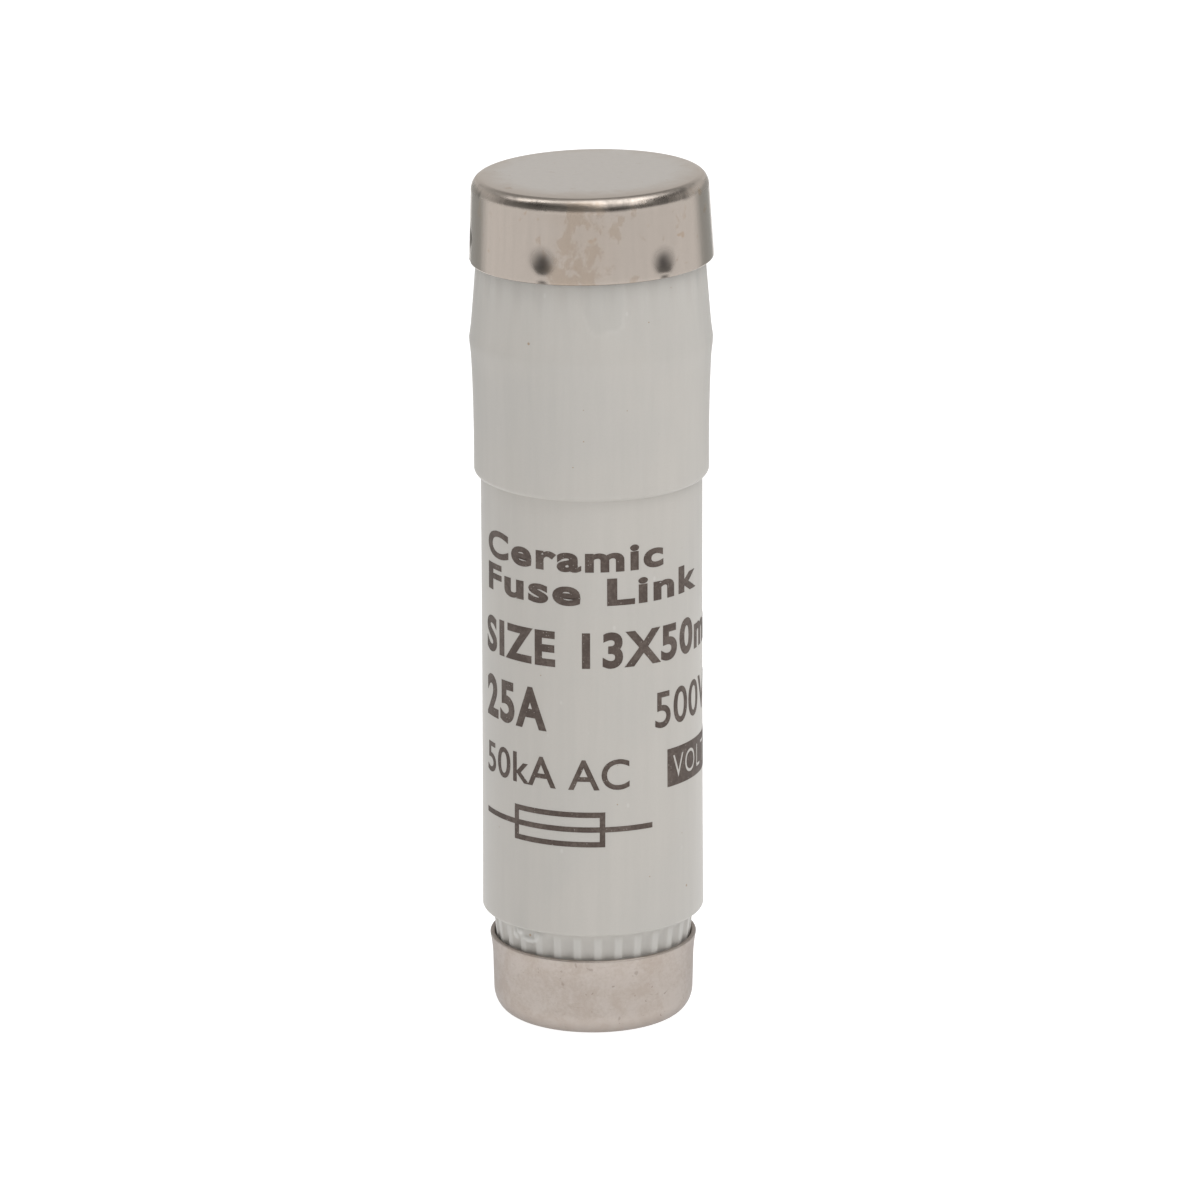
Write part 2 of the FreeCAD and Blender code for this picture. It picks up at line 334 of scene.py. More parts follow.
@dataclass(frozen=True)
class StainedNickel(Finish):
    """Nickel plate on brass, drawn and handled, with thin tan stains that ran down its front,
    painted dark reflection bands on its rounded corner and painted shade in its dimples.
    """

    name: str = "stained_nickel"
    plate: Colour = (0.400, 0.354, 0.314)
    face: Colour = (0.520, 0.500, 0.478)
    stain: Colour = (0.345, 0.262, 0.190)
    # Near-black for painted shade in the dimples and nicks, and for painted dark reflection bands on
    # the corner.
    painted_dark: Colour = (0.040, 0.035, 0.033)
    ring: Colour = (0.34, 0.26, 0.19)
    edge: tuple[float, float, float, float] = (0.92, 0.90, 0.88, 1.0)
    face_height: float = 49.75
    ring_radius: float = 4.5
    corner: tuple[float, float] = (49.15, 49.93)

    def surface(self, net: Net) -> dict[str, Any]:
        """Sockets of the Principled shader.

        Args:
            net: the material's tree.

        Returns:
            Values and signals by socket name.
        """
        place = net.place()
        axes = net.axes(place)
        radius = net.vector("LENGTH", net.vector("MULTIPLY", place, (1.0, 1.0, 0.0))).part("Value")
        level = net.attribute("level")
        on_face = net.smooth(level, self.face_height, self.face_height + 0.20)
        rivers = net.noise(net.stretched(place, 0.95, 0.60), 1.0, 4.0, 0.58, 0.5, 5.0)
        drops = net.noise(place, 1.7, 3.0, 0.6, 0.8, 2.0)
        wander = net.noise(net.stretched(place, 0.0, 0.8), 1.0, 2.0, 0.5, 0.0, 4.0)
        front = net.smooth(axes.part("Y"), -1.0, -5.0)
        run = net.smooth(net.maths("ABSOLUTE", axes.part("X") + 0.5 + (wander - 0.5) * 3.0),
                         2.6, 0.5) * front
        wet = rivers + drops * 0.20 + run * 0.15
        patches = net.smooth(wet, 0.690, 0.800)
        outline = patches * net.smooth(wet, 0.800, 0.730)
        drawn = net.noise(net.stretched(place, 2.6, 0.16), 1.0, 3.0, 0.6, 0.0, 1.0)
        fine = net.noise(place, 7.0, 3.0, 0.6, 0.0, 6.0)
        low, high = self.corner
        on_corner = (net.smooth(level, low, low + 0.30)
                     * net.smooth(level, high + 0.05, high - 0.04))
        # Scuff noise gives the corner real roughness and bump. With the noise below it, it also
        # places the painted dark reflection bands.
        scuffs_and_band_noise = net.noise(net.stretched(place, 1.1, 0.5), 1.0, 5.0, 0.68, 0.6, 12.0)
        band_noise = net.noise(net.stretched(place, 0.42, 0.1), 1.0, 3.0, 0.5, 0.0, 3.0)
        colour = net.blend(on_face, self.plate, self.face)
        shade = 1.0 + (drawn - 0.5) * 0.14 + (fine - 0.5) * 0.10
        colour = net.shaded(colour, shade)
        tarnish = (patches * 0.34 + outline * 0.20 + run * 0.12) * (1.0 - on_face * 0.9)
        colour = net.blend(tarnish, colour, self.stain)
        edge = net.smooth(radius + (rivers - 0.5) * 2.2 - axes.part("Y") * 0.12,
                          self.ring_radius, self.ring_radius + 2.0)
        colour = net.blend(edge * on_face * 0.45, colour, self.ring)
        # Painted dark reflection: near-black patches on the rounded corner stand in for dark studio
        # reflections.
        painted_dark_bands = net.smooth(band_noise + scuffs_and_band_noise * 0.35, 0.70, 0.86) * on_corner
        colour = net.blend(painted_dark_bands * 0.60, colour, self.painted_dark)
        warped = net.warped(place, 1.6)
        spots = net.specks(warped, 0.80, 0.19, 0.30, 3.0)
        dots = net.specks(warped, 1.9, 0.17, 0.16, 9.0)
        darkening = net.most(spots * (0.30 + edge * 0.30), dots * 0.38)
        colour = net.blend(darkening, colour, self.stain)
        # Painted shade in the staked dimples and in the nicks under them.
        colour = net.blend(net.attribute("dent"), colour, self.painted_dark)
        rough = (0.19 + on_face * 0.11 + (fine - 0.5) * 0.08 + tarnish * 0.10
                 + on_corner * (scuffs_and_band_noise - 0.15) * 0.28)
        return {
            "Base Color": colour,
            "Metallic": 1.0 - tarnish * 0.20,
            "Roughness": rough + net.attribute("dent") * 0.35,
            "Specular Tint": self.edge,
            "Normal": net.bump((drawn + fine * 0.35) * (1.0 - on_face * 0.8)
                               + scuffs_and_band_noise * on_corner * 5.0, 0.000006, 0.7),
        }


@dataclass(frozen=True)
class MattNickel(Finish):
    """Barrelled nickel plate, matt and pinkish beige, with fine mottling, handling marks and painted
    floor shadow along its bottom.
    """

    name: str = "matt_nickel"
    plate: Colour = (0.515, 0.462, 0.422)
    mottle: Colour = (0.470, 0.408, 0.362)
    # Dark brown for the handling marks and for the painted floor shadow.
    mark_and_shadow: Colour = (0.20, 0.155, 0.125)
    edge: tuple[float, float, float, float] = (0.58, 0.62, 0.67, 1.0)
    # Height in millimetres below which painted floor shadow darkens the cup.
    shadow_height: float = 1.25

    def surface(self, net: Net) -> dict[str, Any]:
        """Sockets of the Principled shader.

        Args:
            net: the material's tree.

        Returns:
            Values and signals by socket name.
        """
        place = net.place()
        fine = net.noise(place, 5.0, 4.0, 0.65, 0.0, 2.0)
        broad = net.noise(place, 0.7, 3.0, 0.55, 0.6, 4.0)
        clouds = net.smooth(broad * 0.6 + fine * 0.4, 0.40, 0.62)
        colour = net.blend(clouds, self.plate, self.mottle)
        warped = net.warped(place, 1.3)
        spots = net.specks(net.stretched(warped, 1.0, 0.75), 1.2, 0.20, 0.22, 5.0)
        dots = net.specks(warped, 2.6, 0.20, 0.14, 6.0)
        scratches = net.smooth(net.noise(net.stretched(place, 1.2, 6.0), 1.0, 3.0, 0.5, 1.8, 7.0),
                               0.62, 0.72)
        # Spots, dots and scratches are real marks. Below the shadow height, the cup darkens with
        # painted floor shadow.
        height = net.axes(place).part("Z") + (fine - 0.5) * 0.8
        darkening = net.most(spots * 0.34, dots * 0.45, scratches * 0.24,
                        net.smooth(height, self.shadow_height, -0.1) * 0.42)
        colour = net.blend(darkening, colour, self.mark_and_shadow)
        return {
            "Base Color": colour,
            "Metallic": 1.0 - darkening * 0.4,
            "Roughness": 0.54 + (fine - 0.5) * 0.16,
            "Specular Tint": self.edge,
            "Normal": net.bump(fine, 0.00002, 0.8),
        }


@dataclass(frozen=True)
class StampedInk(Finish):
    """Dark brown ink, rolled on thinly, so that pinholes show the ceramic."""

    name: str = "stamped_ink"
    ink: Colour = (0.070, 0.051, 0.042)
    thin: Colour = (0.112, 0.088, 0.075)
    bare: Colour = (0.36, 0.33, 0.30)

    def surface(self, net: Net) -> dict[str, Any]:
        """Sockets of the Principled shader.

        Args:
            net: the material's tree.

        Returns:
            Values and signals by socket name.
        """
        place = net.place()
        cover = net.noise(place, 5.0, 3.0, 0.7, 0.0, 3.0)
        clouds = net.noise(place, 0.9, 2.0, 0.5, 0.0, 6.0)
        colour = net.blend(net.smooth(cover * 0.5 + clouds * 0.5, 0.42, 0.62), self.ink, self.thin)
        pinholes = net.specks(place, 7.0, 0.26, 0.16, 5.0)
        colour = net.blend(pinholes * 0.55, colour, self.bare)
        return {
            "Base Color": colour,
            "Roughness": 0.58 + (cover - 0.5) * 0.2,
            "Specular IOR Level": 0.30,
            "Normal": net.bump(cover, 0.000006, 0.5),
        }


@dataclass(frozen=True)
class GrainyMetal(Finish):
    """Sheet or cast metal with a directional grain, for the pieces inside."""

    name: str = "grainy_metal"
    metal: Colour = (0.55, 0.54, 0.52)
    dull: Colour = (0.40, 0.39, 0.37)
    across: float = 4.0
    along: float = 0.4
    roughness: float = 0.32

    def surface(self, net: Net) -> dict[str, Any]:
        """Sockets of the Principled shader.

        Args:
            net: the material's tree.

        Returns:
            Values and signals by socket name.
        """
        place = net.place()
        grain = net.noise(net.stretched(place, self.across, self.along), 1.0, 4.0, 0.6, 0.2, 3.0)
        clouds = net.noise(place, 0.5, 3.0, 0.55, 0.5, 7.0)
        tone = net.smooth(grain * 0.4 + clouds * 0.6, 0.38, 0.66)
        colour = net.blend(tone, self.metal, self.dull)
        return {
            "Base Color": colour,
            "Metallic": 1.0,
            "Roughness": self.roughness + (grain - 0.5) * 0.2,
            "Normal": net.bump(grain, 0.00001, 0.6),
        }


@dataclass(frozen=True)
class QuartzGrain(Finish):
    """Washed quartz sand: pale grains, some clear and some rusty, with dark joints between."""

    name: str = "quartz_grain"
    pale: Colour = (0.72, 0.66, 0.55)
    rusty: Colour = (0.50, 0.33, 0.18)
    joint: Colour = (0.22, 0.17, 0.12)
    grains_per_mm: float = 3.2

    def surface(self, net: Net) -> dict[str, Any]:
        """Sockets of the Principled shader.

        Args:
            net: the material's tree.

        Returns:
            Values and signals by socket name.
        """
        place = net.place()
        cell = net.node("ShaderNodeTexVoronoi", None,
                        {"Vector": place, "Scale": self.grains_per_mm})
        tint = net.part_of(cell, "Color")
        colour = net.blend(net.smooth(tint, 0.55, 0.95), self.pale, self.rusty)
        colour = net.blend(net.smooth(cell.part("Distance"), 0.42, 0.75) * 0.8, colour, self.joint)
        return {
            "Base Color": colour,
            "Roughness": 0.45 + tint * 0.35,
            "Normal": net.bump(1.0 - cell.part("Distance"), 0.00012, 0.9),
        }


@dataclass(frozen=True)
class PressedBoard(Finish):
    """Pressed sealing board with matted fibres."""

    name: str = "pressed_board"
    board: Colour = (0.56, 0.44, 0.28)
    fibre: Colour = (0.38, 0.28, 0.17)

    def surface(self, net: Net) -> dict[str, Any]:
        """Sockets of the Principled shader.

        Args:
            net: the material's tree.

        Returns:
            Values and signals by socket name.
        """
        place = net.place()
        fibres = net.noise(net.stretched(place, 3.0, 8.0), 1.0, 5.0, 0.7, 2.5, 2.0)
        blots = net.noise(place, 0.8, 3.0, 0.5, 0.3, 5.0)
        tone = net.smooth(fibres * 0.7 + blots * 0.3, 0.40, 0.62)
        colour = net.blend(tone, self.board, self.fibre)
        return {
            "Base Color": colour,
            "Roughness": 0.85 + (fibres - 0.5) * 0.2,
            "Normal": net.bump(fibres, 0.00003, 0.8),
        }


@dataclass(frozen=True)
class Board(Finish):
    """Studio board or floor: matt, and lit a little from within, as a light table is."""

    name: str = "pale_floor"
    paper: Colour = (0.30, 0.30, 0.30)
    glow_colour: Colour = (1.0, 1.0, 1.0)
    glow: float = 0.93

    def surface(self, net: Net) -> dict[str, Any]:
        """Sockets of the Principled shader.

        Args:
            net: the material's tree.

        Returns:
            Values and signals by socket name.
        """
        fibres = net.noise(net.place(), 0.2, 3.0, 0.6, 0.0, 1.0)
        return {
            "Base Color": net.blend(fibres * 0.06, self.paper, (0.1, 0.1, 0.1)),
            "Roughness": 0.9,
            "Specular IOR Level": 0.0,
            "Emission Color": net.blend(fibres * 0.03, self.glow_colour, (0.9, 0.9, 0.9)),
            "Emission Strength": self.glow,
        }


@dataclass(frozen=True)
class GreyCard(Finish):
    """Grey studio card that fades out towards its upright edges."""

    name: str = "grey_card"
    glow: Colour = (0.530, 0.550, 0.545)
    inner_turn: float = 18.0
    outer_turn: float = 68.0
    fade: float = 17.0

    def shader(self, net: Net) -> Signal:
        """Glowing paint that gives way to nothing at the card's edges.

        Args:
            net: the material's tree.

        Returns:
            The mixed shader.
        """
        axes = net.axes(net.place())
        turn = (net.maths("ARCTAN2", net.maths("ABSOLUTE", axes.part("X")), axes.part("Y"))
                * math.degrees(1.0))
        solid = (net.smooth(turn, self.outer_turn, self.outer_turn - self.fade)
                 * net.smooth(turn, self.inner_turn, self.inner_turn + self.fade * 0.3))
        clear = net.node("ShaderNodeBsdfTransparent")
        paint = net.node("ShaderNodeEmission", None, {"Color": (*self.glow, 1.0)})
        return net.node("ShaderNodeMixShader", None, {0: solid, 1: clear, 2: paint})


# ---------------------------------------------------------------------------------------------
# Meshes of revolution


@dataclass(frozen=True)
class Corner:
    """A corner of a half-section, in millimetres."""

    radius: float
    height: float
    rounding: float = 0.0
    step: float = 1.0

    @property
    def point(self) -> Vector:
        """The corner as a flat vector."""
        return Vector((self.radius, self.height))


def rounded_outline(corners: list[Corner], closed: bool) -> list[Vector]:
    """Points of a half-section.

    Args:
        corners: its corners; a corner's step is the largest gap on the run that leaves it.
        closed: whether the last corner joins the first.

    Returns:
        Points along the outline, with roundings as arcs.
    """
    arcs = []
    for index, corner in enumerate(corners):
        inner = closed or 0 < index < len(corners) - 1
        if corner.rounding <= 0.0 or not inner:
            arcs.append([corner.point])
            continue
        back = (corners[index - 1].point - corner.point).normalized()
        ahead = (corners[(index + 1) % len(corners)].point - corner.point).normalized()
        half = back.angle(ahead) / 2
        centre = corner.point + (back + ahead).normalized() * corner.rounding / math.sin(half)
        start = corner.point + back * corner.rounding / math.tan(half) - centre
        end = corner.point + ahead * corner.rounding / math.tan(half) - centre
        turn = math.pi - 2 * half
        pieces = max(3, round(turn / math.radians(9.0)))
        arc = []
        for piece in range(pieces + 1):
            share = piece / pieces
            mixed = start * math.sin((1 - share) * turn) + end * math.sin(share * turn)
            arc.append(centre + mixed / math.sin(turn))
        arcs.append(arc)
    points = []
    for index, arc in enumerate(arcs):
        points += arc
        if not closed and index == len(arcs) - 1:
            break
        target = arcs[(index + 1) % len(arcs)][0]
        run = target - arc[-1]
        pieces = max(1, math.ceil(run.length / corners[index].step))
        points += [arc[-1] + run * (piece / pieces) for piece in range(1, pieces)]
    return points


def turned(name: str, outline: list[Vector], closed: bool,
           segments: int = 480) -> bpy.types.Object:
    """Turn an outline about the axis.

    Args:
        name: the piece's name.
        outline: its half-section in millimetres, from pole to pole unless it is closed.
        closed: whether the outline is a loop that never meets the axis.
        segments: steps round the axis.

    Returns:
        The new object, with its faces outwards.
    """
    shape = bmesh.new()
    rings = []
    for point in outline:
        if point.x < SAME_FLAT_POINT:
            rings.append([shape.verts.new((0.0, 0.0, point.y * MM))])
            continue
        ring = []
        for step in range(segments):
            angle = math.tau * step / segments
            ring.append(shape.verts.new((point.x * MM * math.cos(angle),
                                         point.x * MM * math.sin(angle), point.y * MM)))
        rings.append(ring)
    pairs = list(zip(rings, rings[1:]))
    if closed:
        pairs.append((rings[-1], rings[0]))
    for lower, upper in pairs:
        for step in range(segments):
            after = (step + 1) % segments
            if len(lower) == 1:
                shape.faces.new((lower[0], upper[step], upper[after]))
            elif len(upper) == 1:
                shape.faces.new((lower[step], lower[after], upper[0]))
            else:
                shape.faces.new((lower[step], lower[after], upper[after], upper[step]))
    return finished(name, shape)


def linked(name: str, data: bpy.types.ID) -> bpy.types.Object:
    """A new object in the scene.

    Args:
        name: its name.
        data: its mesh, curve, light or camera.

    Returns:
        The object.
    """
    made = bpy.data.objects.new(name, data)
    bpy.context.scene.collection.objects.link(made)
    return made


def finished(name: str, shape: bmesh.types.BMesh, smooth_below: float = 38.0) -> bpy.types.Object:
    """Make an object of a bmesh.

    Args:
        name: the piece's name.
        shape: its mesh, which is freed.
        smooth_below: edges turning by more degrees than this stay sharp.

    Returns:
        The new object, linked to the scene.
    """
    bmesh.ops.remove_doubles(shape, verts=shape.verts, dist=SAME_POINT)
    bmesh.ops.recalc_face_normals(shape, faces=shape.faces)
    mesh = bpy.data.meshes.new(name)
    shape.to_mesh(mesh)
    shape.free()
    mesh.shade_smooth()
    mesh.set_sharp_from_angle(angle=math.radians(smooth_below))
    return linked(name, mesh)


# ---------------------------------------------------------------------------------------------
# Geometry trees


class Shaper:
    """A geometry tree that is run once on a piece and leaves a plain mesh.

    Its inputs have names and the unit that each is given in.
    """

    title = "Shaper"
    inputs: dict[str, float] = {}

    def shape(self, net: Net, geometry: Signal, given: dict[str, Signal]) -> Signal:
        """The changed geometry, from the tree's inputs by name."""
        raise NotImplementedError

    def tree(self) -> bpy.types.NodeTree:
        """The tree.

        Returns:
            The node group, which is built the first time it is asked for.
        """
        found = bpy.data.node_groups.get(self.title)
        if found is not None:
            return found
        made = bpy.data.node_groups.new(self.title, "GeometryNodeTree")
        made.interface.new_socket("Geometry", in_out="INPUT", socket_type="NodeSocketGeometry")
        for name in self.inputs:
            made.interface.new_socket(name, in_out="INPUT", socket_type="NodeSocketFloat")
        made.interface.new_socket("Material", in_out="INPUT", socket_type="NodeSocketMaterial")
        made.interface.new_socket("Geometry", in_out="OUTPUT", socket_type="NodeSocketGeometry")
        net = Net(made)
        start = net.node("NodeGroupInput")
        given = {name: start.part(name) for name in self.inputs}
        shaped = self.shape(net, start, given)
        real = net.node("GeometryNodeRealizeInstances", None, {0: shaped})
        dressed = net.node("GeometryNodeSetMaterial", None,
                           {"Geometry": real, "Material": start.part("Material")})
        net.node("NodeGroupOutput", None, {0: dressed})
        return made

    def run(self, piece: bpy.types.Object, finish: Finish, **values: float) -> None:
        """Run the tree on a piece.

        Args:
            piece: the object whose mesh is replaced by the result.
            finish: the finish that the tree sets.
            values: the tree's inputs, by name with _ for a space, in their units.
        """
        tree = self.tree()
        modifier = piece.modifiers.new(self.title, "NODES")
        modifier.node_group = tree
        wanted: dict[str, Any] = {"Material": finish.material()}
        for name, value in values.items():
            title = name.replace("_", " ").capitalize()
            wanted[title] = value * self.inputs[title]
        for item in tree.interface.items_tree:
            if item.in_out == "INPUT" and item.name in wanted:
                modifier[item.identifier] = wanted[item.name]
        graph = bpy.context.evaluated_depsgraph_get()
        mesh = bpy.data.meshes.new_from_object(piece.evaluated_get(graph),
                                               preserve_all_data_layers=True, depsgraph=graph)
        piece.modifiers.clear()
        piece.data = mesh


def polar(net: Net) -> tuple[Signal, Signal, Signal, Signal]:
    """Where a point lies round the axis.

    Args:
        net: the geometry tree.

    Returns:
        Its distance from the axis, angle about it, height, and direction away from it.
    """
    place = net.node("GeometryNodeInputPosition")
    axes = net.axes(place)
    flat = net.vector("MULTIPLY", place, (1.0, 1.0, 0.0))
    radius = net.vector("LENGTH", flat).part("Value")
    angle = net.maths("ARCTAN2", axes.part("Y"), axes.part("X"))
    return radius, angle, axes.part("Z"), net.vector("NORMALIZE", flat)


def moved(net: Net, geometry: Signal, direction: Signal, amount: Signal) -> Signal:
    """Geometry moved along a direction by an amount."""
    return net.node("GeometryNodeSetPosition", None,
                    {"Geometry": geometry, "Offset": net.scaled(direction, amount)})


def stored(net: Net, geometry: Signal, name: str, value: Signal) -> Signal:
    """Geometry with a number kept on its points."""
    return net.node("GeometryNodeStoreNamedAttribute", {"data_type": "FLOAT", "domain": "POINT"},
                    {"Geometry": geometry, "Name": name, "Value": value})


class NeckFlutes(Shaper):
    """Presses evenly spaced round flutes into the two necks, keeps what stands between them and
    stores a painted highlight on it.
    """

    title = "Neck flutes"
    inputs = {
        "Count": 1.0, "Turn": DEGREE, "Inside": MM, "Foot width": MM, "Foot depth": MM,
        "Foot fade": MM, "Foot top": MM, "Head width": MM, "Head depth": MM, "Head bottom": MM,
        "Head fade": MM, "Drip turn": DEGREE, "Drip radius": MM, "Drip height": MM,
        "Run turn": DEGREE, "Run height": MM, "Run width": MM, "Run drop": MM,
    }

    def shape(self, net: Net, geometry: Signal, given: dict[str, Signal]) -> Signal:
        """The changed geometry.

        Args:
            net: the geometry tree.
            geometry: what comes in.
            given: the tree's inputs by name.

        Returns:
            What goes out.
        """
        radius, angle, height, outwards = polar(net)
        half = math.pi / given["Count"]
        across = net.maths("WRAP", angle - given["Turn"], half, half * -1.0) * radius
        outside = net.maths("GREATER_THAN", radius, given["Inside"])

        def groove(width: Signal, depth: Signal) -> Signal:
            """How deep a flute of this width and depth is."""
            reach = across / (width * 0.5)
            return net.maths("MAXIMUM", 1.0 - reach * reach, 0.0) * depth

        def crest_highlight(width: Signal, start: float) -> Signal:
            """Where the painted highlight goes: 1 between two flutes, and 0 in them from this share
            of their half width inwards.
            """
            reach = net.maths("ABSOLUTE", across) / (width * 0.5)
            return net.smooth(reach, start, 1.08)

        at_foot = outside * net.smooth(height, given["Foot top"],
                                       given["Foot top"] - given["Foot fade"])
        at_head = outside * net.smooth(height, given["Head bottom"],
                                       given["Head bottom"] + given["Head fade"])
        depth = (groove(given["Foot width"], given["Foot depth"]) * at_foot
                 + groove(given["Head width"], given["Head depth"]) * at_head)
        off = (angle - given["Run turn"]) * radius / given["Run width"]
        down = (height - given["Run height"]) / given["Run drop"]
        pooled = net.smooth(net.maths("SQRT", off * off + down * down), 1.15, 0.75)
        depth = depth * (1.0 - pooled)
        edge, inside = self.drip(net, angle, radius, height, given)
        bead = edge * outside
        shaped = moved(net, geometry, outwards, bead * (0.018 * MM) - depth)
        # Painted highlight: strongest on the foot crests, faint on the head crests, and on the
        # drip's raised edge.
        light = (crest_highlight(given["Foot width"], 0.76) * at_foot * 0.72
                 + crest_highlight(given["Head width"], 0.45) * at_head * 0.16 + bead * 0.30)
        lit = stored(net, shaped, "crest_highlight", light)
        return stored(net, lit, "bare", (inside + pooled * 1.6) * outside)

    @staticmethod
    def drip(net: Net, angle: Signal, radius: Signal, height: Signal,
             given: dict[str, Signal]) -> tuple[Signal, Signal]:
        """The U-shaped drip that the glaze left under the head cap.

        Args:
            net: the geometry tree.
            angle: of a point about the axis.
            radius: distance of the point from the axis.
            height: of the point.
            given: the tree's inputs by name.

        Returns:
            1 along its ragged edge, and 1 within it.
        """
        place = net.node("GeometryNodeInputPosition")
        ragged = (net.noise(place, 1.1 / MM, 3.0, 0.6, 0.0, 2.0) - 0.5) * (0.9 * MM)
        across = (angle - given["Drip turn"]) * radius
        below = net.maths("MINIMUM", height - given["Drip height"], 0.0)
        reach = net.maths("SQRT", across * across + below * below) + ragged
        off = net.maths("ABSOLUTE", reach - given["Drip radius"])
        near = net.smooth(net.maths("ABSOLUTE", across), 3.0 * MM, 2.0 * MM)
        low = net.smooth(height, given["Drip height"] + 0.4 * MM, given["Drip height"] - 0.3 * MM)
        edge = net.smooth(off, 0.17 * MM, 0.0) * near * (0.25 + low * 0.75)
        inside = net.smooth(reach - given["Drip radius"], 0.1 * MM, -0.35 * MM) * near
        return edge, inside


class GlazeBead(Shaper):
    """Raises one bead of glaze, bowed like a smile, where the glaze ran down over the neck, and
    stores a painted highlight on it.
    """

    title = "Glaze bead"
    inputs = {
        "Turn": DEGREE, "Inside": MM, "Height": MM, "Length": MM, "Thickness": MM,
        "Lean": DEGREE, "Proud": MM, "Top": MM,
    }

    def shape(self, net: Net, geometry: Signal, given: dict[str, Signal]) -> Signal:
        """The changed geometry.

        Args:
            net: the geometry tree.
            geometry: what comes in.
            given: the tree's inputs by name.

        Returns:
            What goes out.
        """
        radius, angle, height, outwards = polar(net)
        across = (angle - given["Turn"]) * radius
        share = across / given["Length"]
        up = height - given["Height"] - share * share * given["Length"] * 0.76
        cosine, sine = net.maths("COSINE", given["Lean"]), net.maths("SINE", given["Lean"])
        along = (across * cosine + up * sine) / (given["Length"] * 0.5)
        over = (up * cosine - across * sine) / (given["Thickness"] * 0.5)
        reach = net.maths("SQRT", along * along + over * over)
        below = net.smooth(height, given["Top"], given["Top"] - 0.05 * MM)
        outside = net.maths("GREATER_THAN", radius, given["Inside"])
        bead = net.smooth(reach, 1.05, 0.40) * below * outside
        shaped = moved(net, geometry, outwards, bead * given["Proud"])
        # Painted highlight on the bead, kept together with any highlight stored before.
        kept = net.node("GeometryNodeInputNamedAttribute", {"data_type": "FLOAT"},
                        {"Name": "crest_highlight"})
        return stored(net, shaped, "crest_highlight", net.most(kept, bead * 2.1))


class CapDimples(Shaper):
    """Stakes a ring of round dimples into a skirt, with a small nick in the rim under each, and
    stores painted shade in and around them.
    """

    title = "Cap dimples"
    inputs = {
        "Count": 1.0, "Turn": DEGREE, "Inside": MM, "Height": MM, "Width": MM, "Depth": MM,
        "Nick height": MM, "Nick width": MM, "Nick depth": MM, "Ring lean": 1.0,
        "Tilt": DEGREE, "Lean": DEGREE, "Tilt height": MM, "Lift": MM,
    }

    def shape(self, net: Net, geometry: Signal, given: dict[str, Signal]) -> Signal:
        """The changed geometry.

        Args:
            net: the geometry tree.
            geometry: what comes in.
            given: the tree's inputs by name.

        Returns:
            What goes out.
        """
        radius, angle, height, outwards = polar(net)
        half = math.pi / given["Count"]
        across = net.maths("WRAP", angle - given["Turn"], half, half * -1.0) * radius
        level = height + net.maths("COSINE", angle) * radius * given["Ring lean"]
        on_skirt = net.maths("GREATER_THAN", radius, given["Inside"])

        def bowl(off: Signal, width: Signal) -> Signal:
            """1 in the middle of a round dimple and 0 from its edge on."""
            reach = net.maths("SQRT", across * across + off * off) / (width * 0.5)
            return net.smooth(reach, 1.0, 0.0) * on_skirt

        dimple = bowl(level - given["Height"], given["Width"] * 1.6)
        nick = bowl((height - given["Nick height"]) * 2.2, given["Nick width"])
        depth = dimple * given["Depth"] + nick * given["Nick depth"]
        shaped = moved(net, geometry, outwards, depth * -1.0)
        # Painted shade: a dark patch a little wider than each dimple, and one in each nick, stored
        # as dent.
        painted_dimple_shade = bowl(level - given["Height"] - 0.06 * MM, given["Width"] * 2.2)
        dark = net.most(painted_dimple_shade * 0.84, nick * 0.75)
        marked = stored(net, stored(net, shaped, "dent", dark), "level", height / MM)
        return self.leaning(net, marked, given)

    @staticmethod
    def leaning(net: Net, geometry: Signal, given: dict[str, Signal]) -> Signal:
        """Geometry pressed on slightly askew, higher at the right and at the front.

        Args:
            net: the geometry tree.
            geometry: what is pressed on.
            given: the tree's inputs by name.

        Returns:
            The leaning geometry.
        """
        place = net.node("GeometryNodeInputPosition")
        axes = net.axes(place)
        below = given["Tilt height"] - axes.part("Z")
        rise = axes.part("X") * given["Tilt"] - axes.part("Y") * given["Lean"] + given["Lift"]
        offset = net.node("ShaderNodeCombineXYZ", None,
                          {0: below * given["Tilt"], 1: below * given["Lean"] * -1.0, 2: rise})
        return net.node("GeometryNodeSetPosition", None, {"Geometry": geometry, "Offset": offset})


# ---------------------------------------------------------------------------------------------
# Sub-assemblies


@dataclass(frozen=True)
class Span:
    """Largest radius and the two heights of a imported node, in millimetres."""

    radius: float
    low: float
    high: float

    @classmethod
    def of(cls, node: str) -> "Span":
        """The span of one node."""
        low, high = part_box(node)
        return cls(high[0] / MM, low[2] / MM, high[2] / MM)


def placed(piece: bpy.types.Object, slot: str, *replaced: str) -> bpy.types.Object:
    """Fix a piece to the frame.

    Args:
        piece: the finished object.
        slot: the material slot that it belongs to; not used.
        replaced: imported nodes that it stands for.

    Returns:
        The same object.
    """
    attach(piece, BODY)
    if replaced:
        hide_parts(*replaced)
    LOG.info("%s: %d faces, replaces %s", piece.name, len(piece.data.polygons), replaced or "none")
    return piece


def eased_corner(radius: float, height: float, width: float, rise: float,
                 pieces: int = 12) -> list[Corner]:
    """A cap's corner, a quarter of an ellipse from its flat end to its side.

    Args:
        radius: of the side where the corner ends.
        height: of the flat end.
        width: of the corner across.
        rise: of the corner along the axis, negative when the side hangs below the end.
        pieces: steps along it.

    Returns:
        The corner's points.
    """
    points = []
    for piece in range(pieces + 1):
        turn = math.pi / 2 * piece / pieces
        points.append(Corner(radius - width + math.sin(turn) * width,
                             height + (1 - math.cos(turn)) * rise))
    return points


@dataclass(frozen=True)
class Bead:
    """A bead of glaze: turn and lean in degrees, and how far it hangs below the shoulder."""

    turn: float
    drop: float
    length: float
    thickness: float
    lean: float = 0.0


